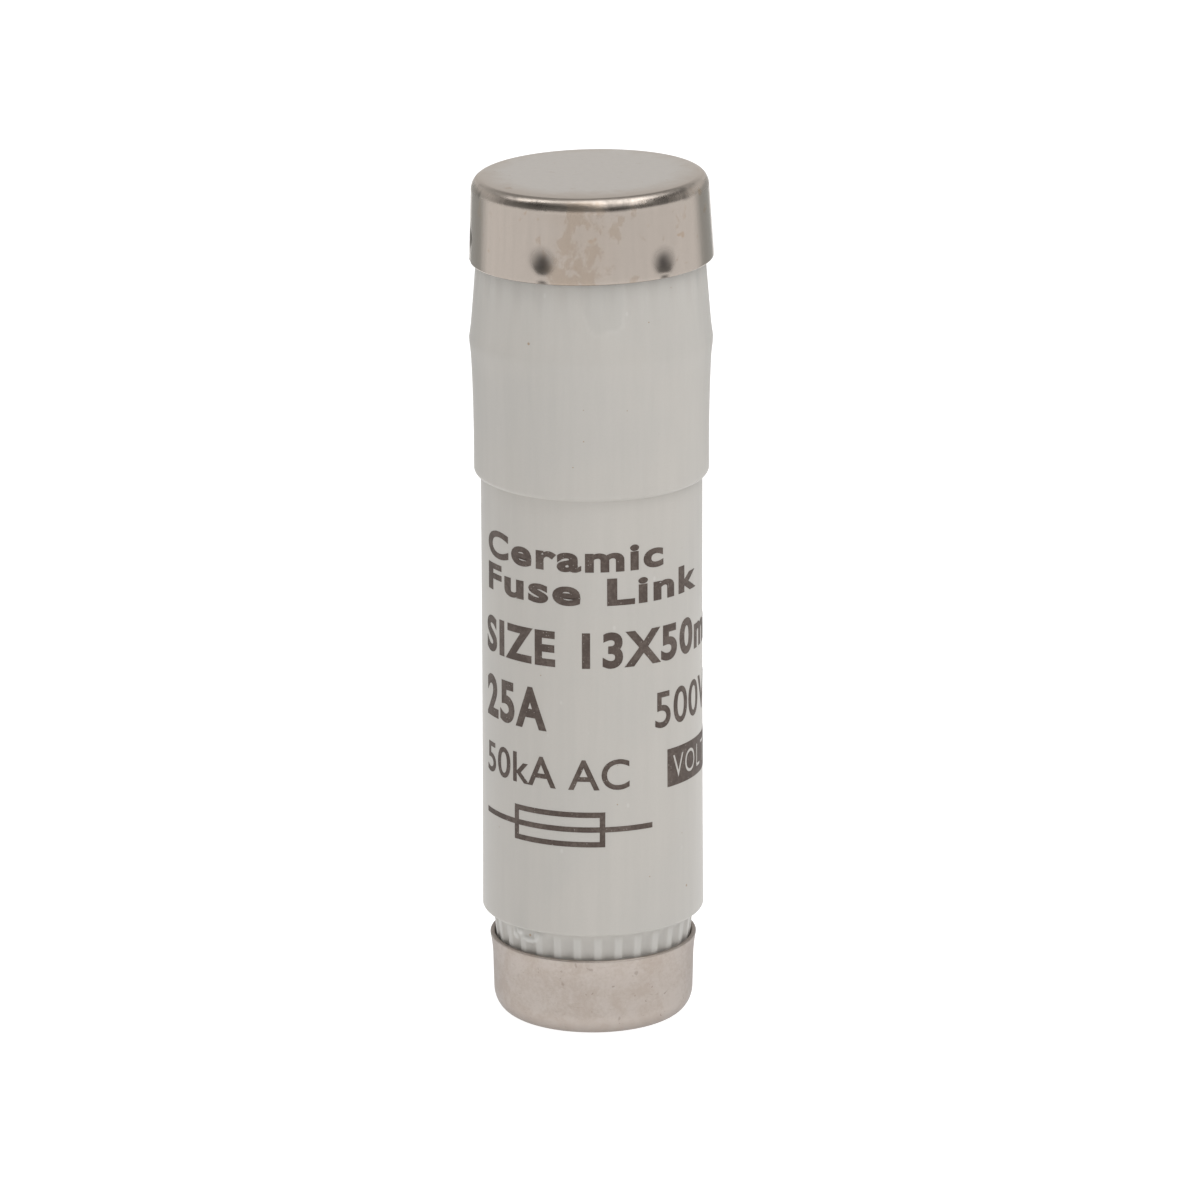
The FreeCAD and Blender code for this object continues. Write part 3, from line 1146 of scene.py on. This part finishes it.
@dataclass
class CeramicTube:
    """Tube with fluted necks, a slightly waisted barrel and a collar that swells to a ridge."""

    name: str = "ceramic_tube"
    waist_radius: float = 6.375
    waist_height: float = 25.0
    waist_gain: float = 0.055
    neck_step: float = 0.84
    neck_rise: float = 0.30
    neck_chamfer: float = 0.60
    shoulder_above_cap: float = 1.62
    shoulder_rounding: float = 0.20
    flare_below_cap: float = 1.44
    collar_radius: float = 6.765
    collar_length: float = 7.91
    collar_rounding: float = 0.32
    collar_root: float = 0.10
    collar_straight: float = 1.0
    ridge_below_rim: float = 4.65
    swell_below_ridge: float = 6.45
    swell: float = 0.105
    swell_length: float = 5.0
    fall: float = 0.08
    ridge_gain: float = 0.052
    ridge_spread: float = 0.60
    neck_at_rim: float = 6.588
    neck_at_end: float = 6.49
    head_chamfer: float = 0.30
    stake_groove: tuple[float, float, float] = (0.45, 2.05, 0.14)
    ring_gap: float = 0.22
    beads: tuple[Bead, ...] = (
        Bead(-38.5, 0.84, 1.90, 0.36, 9.0),
        Bead(-46.6, 0.46, 0.72, 0.46),
        Bead(-34.0, 0.48, 0.52, 0.60),
        Bead(-51.5, 0.80, 0.60, 0.70),
    )
    bead_proud: float = 0.10
    bead_clear: float = 0.06
    flute_count: int = 30
    flute_turn: float = 2.7
    flute_inside: float = 5.0
    foot_flute: tuple[float, float] = (0.80, 0.13)
    foot_flute_fade: float = 0.45
    foot_flute_end: float = 0.12
    head_flute: tuple[float, float] = (0.85, 0.045)
    head_flute_run: float = 2.70
    head_flute_fade: float = 2.2
    drip_turn: float = 6.7
    drip_radius: float = 1.15
    drip_below_rim: float = 1.55
    run_turn: float = -41.0
    run_drop: float = 0.35
    run_size: tuple[float, float] = (1.35, 0.62)
    barrel_steps: int = 14
    segments: int = 600
    finish: Finish = field(default_factory=GlazedCeramic)

    def __post_init__(self) -> None:
        """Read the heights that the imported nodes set."""
        body, sand = Span.of("ceramic_body"), Span.of("quartz_sand")
        self.foot, self.head = body.low, body.high
        self.bore = sand.radius
        self.rim = Span.of("head_cap").low
        self.cap_top = Span.of("foot_cap").high
        self.shoulder = self.cap_top + self.shoulder_above_cap
        self.ridge = self.rim - self.ridge_below_rim
        self.collar_foot = self.ridge - self.collar_length

    def barrel(self, height: float) -> float:
        """Radius of the barrel at a height."""
        reach = (height - self.waist_height) / (self.waist_height - self.shoulder)
        return self.waist_radius + self.waist_gain * reach * reach

    def collar(self, height: float) -> float:
        """Outside of the collar, the ridge or the head neck.

        Args:
            height: where, in millimetres.

        Returns:
            The radius there.
        """
        start = self.ridge - self.swell_below_ridge
        rise = max(height - start, 0.0) / self.swell_length
        swelling = self.collar_radius + self.swell * rise * rise
        falling = self.neck_at_rim + self.fall * (self.rim - height)
        off = (height - self.ridge) / self.ridge_spread
        return min(swelling, falling) + self.ridge_gain * math.exp(-off * off)

    def groove(self) -> list[Corner]:
        """The ring cut under the head cap that its dimples stand in.

        Returns:
            Its corners.
        """
        low, high, depth = self.stake_groove
        length = self.head - self.head_chamfer - self.rim
        corners = []
        for above, sunk in ((low, 0.0), (low + depth, depth), (high - depth, depth), (high, 0.0)):
            side = self.neck_at_rim + (self.neck_at_end - self.neck_at_rim) * above / length
            corners.append(Corner(side - sunk, self.rim + above, 0.0, 0.4))
        return corners

    def corners(self) -> list[Corner]:
        """The half-section.

        Returns:
            Its corners.
        """
        neck = self.waist_radius - self.neck_step
        flare = self.cap_top - self.flare_below_cap
        corners = [
            Corner(self.bore, self.foot, 0.0, 0.6),
            Corner(neck - self.neck_chamfer, self.foot),
            Corner(neck, self.foot + self.neck_chamfer, 0.0, 0.8),
            Corner(neck, flare, 0.0, 0.16),
            Corner(neck + self.neck_rise, self.shoulder, self.shoulder_rounding, 0.12),
            Corner(self.barrel(self.shoulder), self.shoulder, self.shoulder_rounding, 2.0),
        ]
        for step in range(1, self.barrel_steps):
            share = step / self.barrel_steps
            height = self.shoulder + (self.collar_foot - self.shoulder) * share
            corners.append(Corner(self.barrel(height), height, 0.0, 2.0))
        corners += [
            Corner(self.barrel(self.collar_foot), self.collar_foot, self.collar_root, 0.2),
            Corner(self.collar_radius, self.collar_foot, self.collar_rounding, 0.5),
        ]
        height = self.collar_foot + self.collar_straight
        while height < self.rim - 0.2:
            corners.append(Corner(self.collar(height), height))
            height += self.ring_gap
        corners += [
            Corner(self.neck_at_rim, self.rim, 0.0, 0.3),
            *self.groove(),
            Corner(self.neck_at_end, self.head - self.head_chamfer, 0.0, 0.5),
            Corner(self.neck_at_end - self.head_chamfer, self.head, 0.0, 0.6),
            Corner(self.bore, self.head, 0.0, 8.0),
        ]
        return corners

    def build(self) -> bpy.types.Object:
        """Turn, flute and dress the tube.

        Returns:
            The finished piece.
        """
        piece = turned(self.name, rounded_outline(self.corners(), True), True, self.segments)
        foot_width, foot_depth = self.foot_flute
        head_width, head_depth = self.head_flute
        run_width, run_drop = self.run_size
        NeckFlutes().run(
            piece, self.finish, count=self.flute_count, turn=self.flute_turn,
            inside=self.flute_inside, foot_width=foot_width, foot_depth=foot_depth,
            foot_fade=self.foot_flute_fade, foot_top=self.shoulder - self.foot_flute_end,
            head_width=head_width, head_depth=head_depth,
            head_bottom=self.rim - self.head_flute_run, head_fade=self.head_flute_fade,
            drip_turn=self.drip_turn - FRONT, drip_radius=self.drip_radius,
            drip_height=self.rim - self.drip_below_rim, run_turn=self.run_turn - FRONT,
            run_height=self.shoulder - self.run_drop, run_width=run_width, run_drop=run_drop)
        for bead in self.beads:
            GlazeBead().run(
                piece, self.finish, turn=bead.turn - FRONT, inside=self.flute_inside,
                height=self.shoulder - bead.drop, length=bead.length, thickness=bead.thickness,
                lean=bead.lean, proud=self.bead_proud, top=self.shoulder - self.bead_clear)
        return placed(piece, "glazed_ceramic", "ceramic_body")


@dataclass
class HeadCap:
    """Drawn nickel cap with a slightly open skirt, staked by six dimples."""

    name: str = "head_contact_cap"
    wall: float = 0.30
    side_radius: float = 6.810
    corner_width: float = 0.62
    corner_rise: float = 0.80
    taper_gain: float = 0.03
    taper_length: float = 0.62
    inner_corner: float = 0.35
    rim_rounding: float = 0.12
    dimple_count: int = 6
    dimple_turn: float = 6.3
    dimple_above_rim: float = 1.15
    dimple_width: float = 0.95
    dimple_depth: float = 0.12
    dimple_inside: float = 6.2
    nick_above_rim: float = 0.12
    nick_width: float = 0.95
    nick_depth: float = 0.05
    ring_lean: float = 0.045
    tilt: float = 1.15
    lean: float = 1.0
    lift: float = 0.13
    finish: Finish = field(default_factory=StainedNickel)

    def __post_init__(self) -> None:
        """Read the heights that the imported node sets."""
        span = Span.of("head_cap")
        self.rim, self.top, self.rim_radius = span.low, span.high, span.radius

    def corners(self) -> list[Corner]:
        """The half-section, from the outer pole round the rim to the inner pole.

        Returns:
            Its corners.
        """
        outer = eased_corner(self.side_radius, self.top, self.corner_width, -self.corner_rise)
        inner_side = self.side_radius - self.wall
        low_inner = self.rim_radius - self.wall
        floor = self.top - self.wall
        return [
            Corner(0.0, self.top, 0.0, 1.0),
            *outer,
            Corner(self.side_radius + self.taper_gain,
                   self.top - self.corner_rise - self.taper_length, 0.0, 0.15),
            Corner(self.rim_radius, self.rim, self.rim_rounding, 0.07),
            Corner(low_inner, self.rim, self.rim_rounding, 0.10),
            Corner(inner_side, floor - self.inner_corner, 0.0, 0.2),
            Corner(inner_side - self.inner_corner, floor, 0.0, 1.0),
            Corner(0.0, floor),
        ]

    def build(self) -> bpy.types.Object:
        """Turn, stake and dress the cap.

        Returns:
            The finished piece.
        """
        piece = turned(self.name, rounded_outline(self.corners(), False), False, 480)
        CapDimples().run(
            piece, self.finish, count=self.dimple_count, turn=self.dimple_turn,
            inside=self.dimple_inside, height=self.rim + self.dimple_above_rim,
            width=self.dimple_width, depth=self.dimple_depth,
            nick_height=self.rim + self.nick_above_rim, nick_width=self.nick_width,
            nick_depth=self.nick_depth, ring_lean=self.ring_lean, tilt=self.tilt,
            lean=self.lean, tilt_height=(self.rim + self.top) / 2, lift=self.lift)
        return placed(piece, "head_nickel", "head_cap")


@dataclass
class FootCap:
    """Drawn nickel cup with a broad corner and a flared rim."""

    name: str = "foot_contact_cap"
    wall: float = 0.25
    lip: float = 0.335
    corner_width: float = 1.10
    corner_rise: float = 1.37
    inner_corner_width: float = 0.85
    land_radius: float = 5.80
    land_top_radius: float = 5.844
    flare_below_rim: float = 1.69
    flare_gain: float = 0.18
    flare_steps: int = 9
    rim_rounding: float = 0.10
    finish: Finish = field(default_factory=MattNickel)

    def __post_init__(self) -> None:
        """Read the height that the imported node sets."""
        self.rim = Span.of("foot_cap").high

    def corners(self) -> list[Corner]:
        """The half-section, from the outer pole round the rim to the inner pole.

        Returns:
            Its corners.
        """
        outer = eased_corner(self.land_radius, 0.0, self.corner_width, self.corner_rise, 16)
        inner = eased_corner(self.land_radius - self.wall, self.wall,
                             self.inner_corner_width, self.corner_rise - self.wall, 10)
        flare_foot = self.rim - self.flare_below_rim
        flare = []
        for step in range(self.flare_steps):
            share = step / self.flare_steps
            flare.append(Corner(self.land_top_radius + self.flare_gain * share * share,
                                flare_foot + self.flare_below_rim * share, 0.0, 0.3))
        inside = [Corner(corner.radius - self.wall, corner.height, 0.0, 0.3)
                  for corner in reversed(flare)]
        edge = self.land_top_radius + self.flare_gain
        return [
            Corner(0.0, 0.0, 0.0, 0.8),
            *outer,
            *flare,
            Corner(edge, self.rim, self.rim_rounding, 0.1),
            Corner(edge - self.lip, self.rim, self.rim_rounding, 0.2),
            *inside,
            *reversed(inner),
            Corner(0.0, self.wall),
        ]

    def build(self) -> bpy.types.Object:
        """Turn and dress the cup.

        Returns:
            The finished piece.
        """
        piece = turned(self.name, rounded_outline(self.corners(), False), False, 480)
        piece.data.materials.append(self.finish.material())
        return placed(piece, "foot_nickel", "foot_cap")


class Weight(Enum):
    """How heavy a stroke of the marking is: the outline's growth, as a share of the cap height."""

    LIGHT = 0.011
    BOLD = 0.036


@dataclass(frozen=True)
class Line:
    """A line of lettering: sizes in millimetres, and where it starts in degrees from the front."""

    name: str
    text: str
    baseline: float
    cap: float
    start: float
    width: float
    weight: Weight = Weight.LIGHT


@dataclass
class Marking:
    """Ratings stamped on the barrel in thin ink."""

    tube: CeramicTube
    ink_height: float = 0.012
    ink_root: float = 0.030
    slice_width: float = 0.25
    box_height: float = 2.28
    box_base: float = 14.89
    box_start: float = 42.4
    box_width: float = 6.0
    box_letters: float = 0.66
    box_margin: float = 0.45
    symbol_start: float = -70.6
    symbol_middle: float = 12.86
    symbol_length: float = 11.5
    symbol_body: tuple[float, float] = (2.9, 8.6)
    symbol_height: float = 2.1
    stroke: float = 0.32
    finish: Finish = field(default_factory=StampedInk)
    lines: tuple[Line, ...] = (
        Line("marking_ceramic", "Ceramic", 28.29, 1.62, -68.0, 12.0, Weight.BOLD),
        Line("marking_fuse_link", "Fuse Link", 26.28, 1.62, -68.0, 15.2, Weight.BOLD),
        Line("marking_size", "SIZE 13X50mm", 22.55, 2.12, -70.5, 19.58, Weight.BOLD),
        Line("marking_amperes", "25A", 18.63, 2.50, -70.6, 5.15, Weight.BOLD),
        Line("marking_voltage", "500V", 18.59, 2.13, 34.4, 6.0),
        Line("marking_breaking_capacity", "50kA AC", 15.25, 1.80, -70.3, 10.0),
    )

    def text_curve(self, text: str, weight: Weight) -> bpy.types.Object:
        """Lettering at size 1.

        Args:
            text: what it says.
            weight: how heavy its strokes are.

        Returns:
            A text object.
        """
        curve = bpy.data.curves.new("lettering", "FONT")
        curve.body = text
        curve.offset = weight.value
        curve.space_character = 1.0 + 3.6 * weight.value
        curve.resolution_u = 6
        return linked("lettering", curve)

    def flat(self, source: bpy.types.Object) -> bmesh.types.BMesh:
        """The filled faces of lettering or of a flat curve.

        Args:
            source: the object, which is removed.

        Returns:
            Its faces.
        """
        bpy.context.view_layer.update()
        graph = bpy.context.evaluated_depsgraph_get()
        mesh = bpy.data.meshes.new_from_object(source.evaluated_get(graph))
        shape = bmesh.new()
        shape.from_mesh(mesh)
        bpy.data.meshes.remove(mesh)
        bpy.data.objects.remove(source)
        bmesh.ops.remove_doubles(shape, verts=shape.verts, dist=SAME_FLAT_POINT)
        return shape

    @staticmethod
    def in_order(shape: bmesh.types.BMesh) -> bmesh.types.BMesh:
        """The same faces in an order that is the same on every run.

        Args:
            shape: the mesh, which is freed.

        Returns:
            A new mesh, sorted by place, whose faces each start at their first point.
        """
        points = sorted(shape.verts, key=lambda vert: tuple(vert.co))
        place = {vert: number for number, vert in enumerate(points)}
        loops = []
        for face in shape.faces:
            loop = [place[vert] for vert in face.verts]
            first = loop.index(min(loop))
            loops.append(loop[first:] + loop[:first])
        ordered = bmesh.new()
        made = [ordered.verts.new(vert.co) for vert in points]
        for loop in sorted(loops):
            ordered.faces.new([made[number] for number in loop])
        shape.free()
        return ordered

    def capital(self, weight: Weight) -> tuple[float, float]:
        """Where a capital stands at size 1.

        Args:
            weight: how heavy its strokes are.

        Returns:
            Its lowest point and its height.
        """
        shape = self.flat(self.text_curve("H", weight))
        heights = [vert.co.y for vert in shape.verts]
        shape.free()
        return min(heights), max(heights) - min(heights)

    def wrap(self, name: str, shape: bmesh.types.BMesh, start: float,
             base: float) -> bpy.types.Object:
        """Cut flat faces into strips, give them the ink's depth and lay them on the barrel.

        Args:
            name: the piece's name.
            shape: faces in millimetres, from x 0 on, with y 0 on the baseline.
            start: where x 0 lies, in degrees right of the front.
            base: height of y 0.

        Returns:
            The finished piece.
        """
        width = max(vert.co.x for vert in shape.verts)
        for cut in range(1, math.ceil(width / self.slice_width)):
            bmesh.ops.bisect_plane(shape, geom=[*shape.verts, *shape.edges, *shape.faces],
                                   plane_co=(cut * self.slice_width, 0, 0), plane_no=(1, 0, 0))
        bmesh.ops.recalc_face_normals(shape, faces=shape.faces)
        if sum(face.normal.z * face.calc_area() for face in shape.faces) < 0:
            bmesh.ops.reverse_faces(shape, faces=shape.faces)
        made = bmesh.ops.extrude_face_region(shape, geom=list(shape.faces), use_keep_orig=True)
        back = {item for item in made["geom"] if isinstance(item, bmesh.types.BMVert)}
        for vert in shape.verts:
            depth = -self.ink_root if vert in back else self.ink_height
            height = base + vert.co.y
            radius = self.tube.barrel(height)
            angle = math.radians(start - FRONT) + vert.co.x / radius
            radius += depth
            vert.co = Vector((radius * math.cos(angle), radius * math.sin(angle), height)) * MM
        piece = finished(name, self.in_order(shape), 30.0)
        piece.data.materials.append(self.finish.material())
        return placed(piece, "marking_ink")

    def line(self, line: Line) -> None:
        """Build one line of lettering.

        Args:
            line: what it says, where and how large.
        """
        shape = self.flat(self.text_curve(line.text, line.weight))
        foot, capital = self.capital(line.weight)
        size = line.cap / capital
        low = min(vert.co.x for vert in shape.verts)
        high = max(vert.co.x for vert in shape.verts)
        across = line.width / (high - low)
        for vert in shape.verts:
            vert.co = Vector(((vert.co.x - low) * across, (vert.co.y - foot) * size, 0.0))
        self.wrap(line.name, shape, line.start, line.baseline)

    def polygons(self, loops: list[list[tuple[float, float]]]) -> bpy.types.Object:
        """A flat curve filled between loops.

        Args:
            loops: closed loops of (x, y) points.

        Returns:
            A curve object.
        """
        curve = bpy.data.curves.new("lettering", "CURVE")
        curve.dimensions = "2D"
        curve.fill_mode = "FRONT"
        for loop in loops:
            spline = curve.splines.new("POLY")
            spline.points.add(len(loop) - 1)
            for point, (x, y) in zip(spline.points, loop):
                point.co = (x, y, 0.0, 1.0)
            spline.use_cyclic_u = True
        return linked("lettering", curve)

    def reversed_box(self) -> None:
        """Build the inked box whose letters are left bare."""
        source = self.text_curve("VOLTS", Weight.BOLD)
        bpy.context.view_layer.update()
        graph = bpy.context.evaluated_depsgraph_get()
        letters = source.evaluated_get(graph).to_curve(graph)
        cap = self.box_height * self.box_letters
        foot, capital = self.capital(Weight.BOLD)
        size = cap / capital
        loops = [bezier_loop(spline) for spline in letters.splines]
        bpy.data.objects.remove(source)
        low = min(x for loop in loops for x, y in loop)
        high = max(x for loop in loops for x, y in loop)
        margin = self.box_margin
        across = (self.box_width - 2 * margin) / (high - low)
        lift = (self.box_height - cap) / 2
        loops = [[((x - low) * across + margin, (y - foot) * size + lift) for x, y in loop]
                 for loop in loops]
        width, height = self.box_width, self.box_height
        loops.insert(0, [(0.0, 0.0), (width, 0.0), (width, height), (0.0, height)])
        shape = self.flat(self.polygons(loops))
        self.wrap("marking_volts_box", shape, self.box_start, self.box_base)

    def symbol(self) -> None:
        """Build the circuit symbol of a fuse: a box with a line through it."""
        line, tall, (start, end) = self.stroke / 2, self.symbol_height / 2, self.symbol_body
        edge, inner = self.stroke, self.symbol_height / 2 - self.stroke
        loops = [
            [(0.0, -line), (start, -line), (start, -tall), (end, -tall), (end, -line),
             (self.symbol_length, -line), (self.symbol_length, line), (end, line), (end, tall),
             (start, tall), (start, line), (0.0, line)],
        ]
        for side in (-1.0, 1.0):
            loops.append([(start + edge, side * line), (end - edge, side * line),
                          (end - edge, side * inner), (start + edge, side * inner)])
        shape = self.flat(self.polygons(loops))
        self.wrap("marking_fuse_symbol", shape, self.symbol_start, self.symbol_middle)

    def build(self) -> None:
        """Stamp all of it."""
        for line in self.lines:
            self.line(line)
        self.reversed_box()
        self.symbol()


def bezier_loop(spline: bpy.types.Spline, pieces: int = 6) -> list[tuple[float, float]]:
    """Points round a closed spline.

    Args:
        spline: a Bezier spline.
        pieces: points on each of its runs.

    Returns:
        Flat (x, y) points.
    """
    points = []
    knots = list(spline.bezier_points)
    for index, knot in enumerate(knots):
        after = knots[(index + 1) % len(knots)]
        for piece in range(pieces):
            t = piece / pieces
            s = 1 - t
            spot = (knot.co * s ** 3 + knot.handle_right * (3 * s * s * t)
                    + after.handle_left * (3 * s * t * t) + after.co * t ** 3)
            if not points or (Vector(points[-1]) - spot.xy).length > SAME_FLAT_POINT:
                points.append((spot.x, spot.y))
    return points


@dataclass
class Inside:
    """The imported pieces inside, which keep their shape and get their finishes."""

    steel: Finish = GrainyMetal("rolled_plate_steel", (0.50, 0.49, 0.47), (0.36, 0.34, 0.32))
    silvered: Finish = GrainyMetal("silvered_copper", (0.78, 0.74, 0.68), (0.66, 0.50, 0.38),
                                   6.0, 0.5, 0.26)
    tin: Finish = GrainyMetal("cast_tin", (0.62, 0.62, 0.60), (0.46, 0.46, 0.45), 1.6, 1.6, 0.38)
    solder: Finish = GrainyMetal("dull_solder", (0.50, 0.50, 0.48), (0.34, 0.34, 0.33),
                                 1.2, 1.2, 0.46)
    brass: Finish = GrainyMetal("plug_brass", (0.70, 0.52, 0.26), (0.52, 0.36, 0.17),
                                3.0, 3.0, 0.34)
    board: Finish = PressedBoard()
    sand: Finish = QuartzGrain()

    def finishes(self) -> dict[str, Finish]:
        """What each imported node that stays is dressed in.

        Returns:
            Finishes by node name.
        """
        chosen = {
            "head_contact_plate": self.steel, "foot_contact_plate": self.steel,
            "head_solder_joint": self.solder, "foot_solder_joint": self.solder,
            "head_sealing_disc": self.board, "foot_sealing_disc": self.board,
            "sand_fill_plug": self.brass, "quartz_sand": self.sand,
        }
        for number in range(1, 4):
            chosen[f"fuse_element_{number}"] = self.silvered
            chosen[f"tin_overlay_{number}"] = self.tin
        return chosen

    def dress(self) -> None:
        """Put each finish on its node."""
        for name, finish in self.finishes().items():
            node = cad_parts[name]
            for slot in node.material_slots:
                slot.material = finish.material()
            LOG.info("%s: dressed in %s", name, finish.name)


# ---------------------------------------------------------------------------------------------
# Studio


@dataclass(frozen=True)
class Softbox:
    """An area light: angles in degrees from the front and from the horizon, sizes in metres."""

    name: str
    azimuth: float
    elevation: float
    distance: float
    width: float
    height: float
    watts: float
    shows_in_metal: bool = False


@dataclass
class Studio:
    """Floor, cards, lights, sky and camera."""

    target: float = 25.33
    distance: float = 540.0
    elevation: float = 16.6
    lens: float = 284.9
    roll: float = 0.21
    aside: float = -0.087
    floor_radius: float = 2.4
    floor_drop: float = 0.00002
    softboxes: tuple[Softbox, ...] = (
        Softbox("overhead_left", -99.0, 56.0, 0.55, 0.18, 0.32, 0.50, True),
        Softbox("overhead_right", 68.0, 77.0, 0.55, 0.44, 0.42, 1.35, True),
        Softbox("front_middle", 7.0, 27.0, 0.90, 0.50, 0.40, 1.66),
        Softbox("front_left", -58.0, 32.0, 0.80, 0.35, 0.50, 0.22),
        Softbox("front_right", 36.0, 50.0, 0.55, 0.40, 0.34, 0.86, True),
    )
    card_distance: float = 0.105
    card_height: float = 0.060
    card_foot: float = 0.0005
    card_turns: tuple[tuple[str, float, float], ...] = (
        ("card_left", -162.0, -112.0), ("card_right", 112.0, 162.0),
    )

    @staticmethod
    def direction(azimuth: float, elevation: float) -> Vector:
        """Direction from the middle of the room.

        Args:
            azimuth: degrees right of the front.
            elevation: degrees above the horizon.

        Returns:
            A unit vector.
        """
        turn, rise = math.radians(azimuth), math.radians(elevation)
        return Vector((math.sin(turn) * math.cos(rise), -math.cos(turn) * math.cos(rise),
                       math.sin(rise)))

    def camera(self) -> None:
        """Place the camera."""
        lens = bpy.data.cameras.new("camera")
        lens.lens = self.lens
        lens.sensor_width = 36.0
        lens.clip_start, lens.clip_end = 0.01, 20.0
        made = linked("camera", lens)
        target = Vector((self.aside * MM, 0.0, self.target * MM))
        back = self.direction(0.0, self.elevation)
        turn = (-back).to_track_quat("-Z", "Y").to_matrix().to_4x4()
        lean = Matrix.Rotation(-math.radians(self.roll), 4, "Z")
        made.matrix_world = Matrix.Translation(target + back * self.distance * MM) @ turn @ lean
        bpy.context.scene.camera = made

    def lights(self) -> None:
        """Hang the softboxes."""
        target = Vector((0.0, 0.0, self.target * MM))
        for box in self.softboxes:
            light = bpy.data.lights.new(box.name, "AREA")
            light.shape = "RECTANGLE"
            light.size, light.size_y = box.width, box.height
            light.energy = box.watts
            made = linked(box.name, light)
            out = self.direction(box.azimuth, box.elevation)
            made.location = target + out * box.distance
            made.rotation_mode = "QUATERNION"
            made.rotation_quaternion = (-out).to_track_quat("-Z", "Y")
            made.visible_camera = False
            made.visible_glossy = box.shows_in_metal

    def floor(self) -> None:
        """Lay the floor."""
        shape = bmesh.new()
        bmesh.ops.create_circle(shape, cap_ends=True, segments=96, radius=self.floor_radius)
        piece = finished("floor", shape)
        for vert in piece.data.vertices:
            vert.co.z = -self.floor_drop
        if piece.data.polygons[0].normal.z < 0:
            piece.data.flip_normals()
        piece.data.materials.append(Board().material())

    def stand_cards(self) -> None:
        """Stand two curved grey cards behind the piece, where only its metal shows them."""
        grey = GreyCard()
        for name, start, end in self.card_turns:
            shape = bmesh.new()
            bmesh.ops.create_grid(shape, x_segments=16, y_segments=1, size=0.5)
            for index, vert in enumerate(shape.verts):
                out = self.direction(start + (end - start) * (vert.co.x + 0.5), 0.0)
                low = index < len(shape.verts) // 2
                vert.co = out * self.card_distance
                vert.co.z = self.card_foot if low else self.card_height
            piece = finished(name, shape)
            piece.data.materials.append(grey.material())
            piece.visible_camera = False
            piece.visible_diffuse = False
            piece.visible_shadow = False

    def sky(self) -> None:
        """Light the room: dim in front, brighter behind and overhead."""
        world = bpy.data.worlds.new("studio")
        world.use_nodes = True
        bpy.context.scene.world = world
        net = Net(world.node_tree)
        axes = net.axes(net.node("ShaderNodeTexCoord").part("Generated"))
        behind = net.smooth(axes.part("Y"), -0.10, 0.50, 0.19, 0.92)
        behind = behind * net.smooth(axes.part("Z"), 0.36, 0.62, 1.0, 0.20)
        above = net.smooth(axes.part("Z"), 0.60, 0.92, 0.0, 0.42)
        tone = net.smooth(axes.part("X"), -1.0, 1.0, 0.94, 1.06)
        glow = net.node("ShaderNodeBackground", None,
                        {"Color": (1.0, 0.985, 0.965, 1.0), "Strength": (behind + above) * tone})
        net.node("ShaderNodeOutputWorld", None, {"Surface": glow})

    def build(self) -> None:
        """Set the whole studio up."""
        bpy.context.scene.view_settings.view_transform = "Standard"
        self.camera()
        self.floor()
        self.stand_cards()
        self.lights()
        self.sky()
        LOG.info("studio: %d softboxes", len(self.softboxes))


def main() -> None:
    """Build the studio and the piece in order; each piece logs its face count."""
    logging.basicConfig(level=logging.INFO, format="%(name)s %(message)s")
    Studio().build()
    tube = CeramicTube()
    tube.build()
    HeadCap().build()
    FootCap().build()
    Marking(tube).build()
    Inside().dress()


if __name__ == "__main__":
    main()
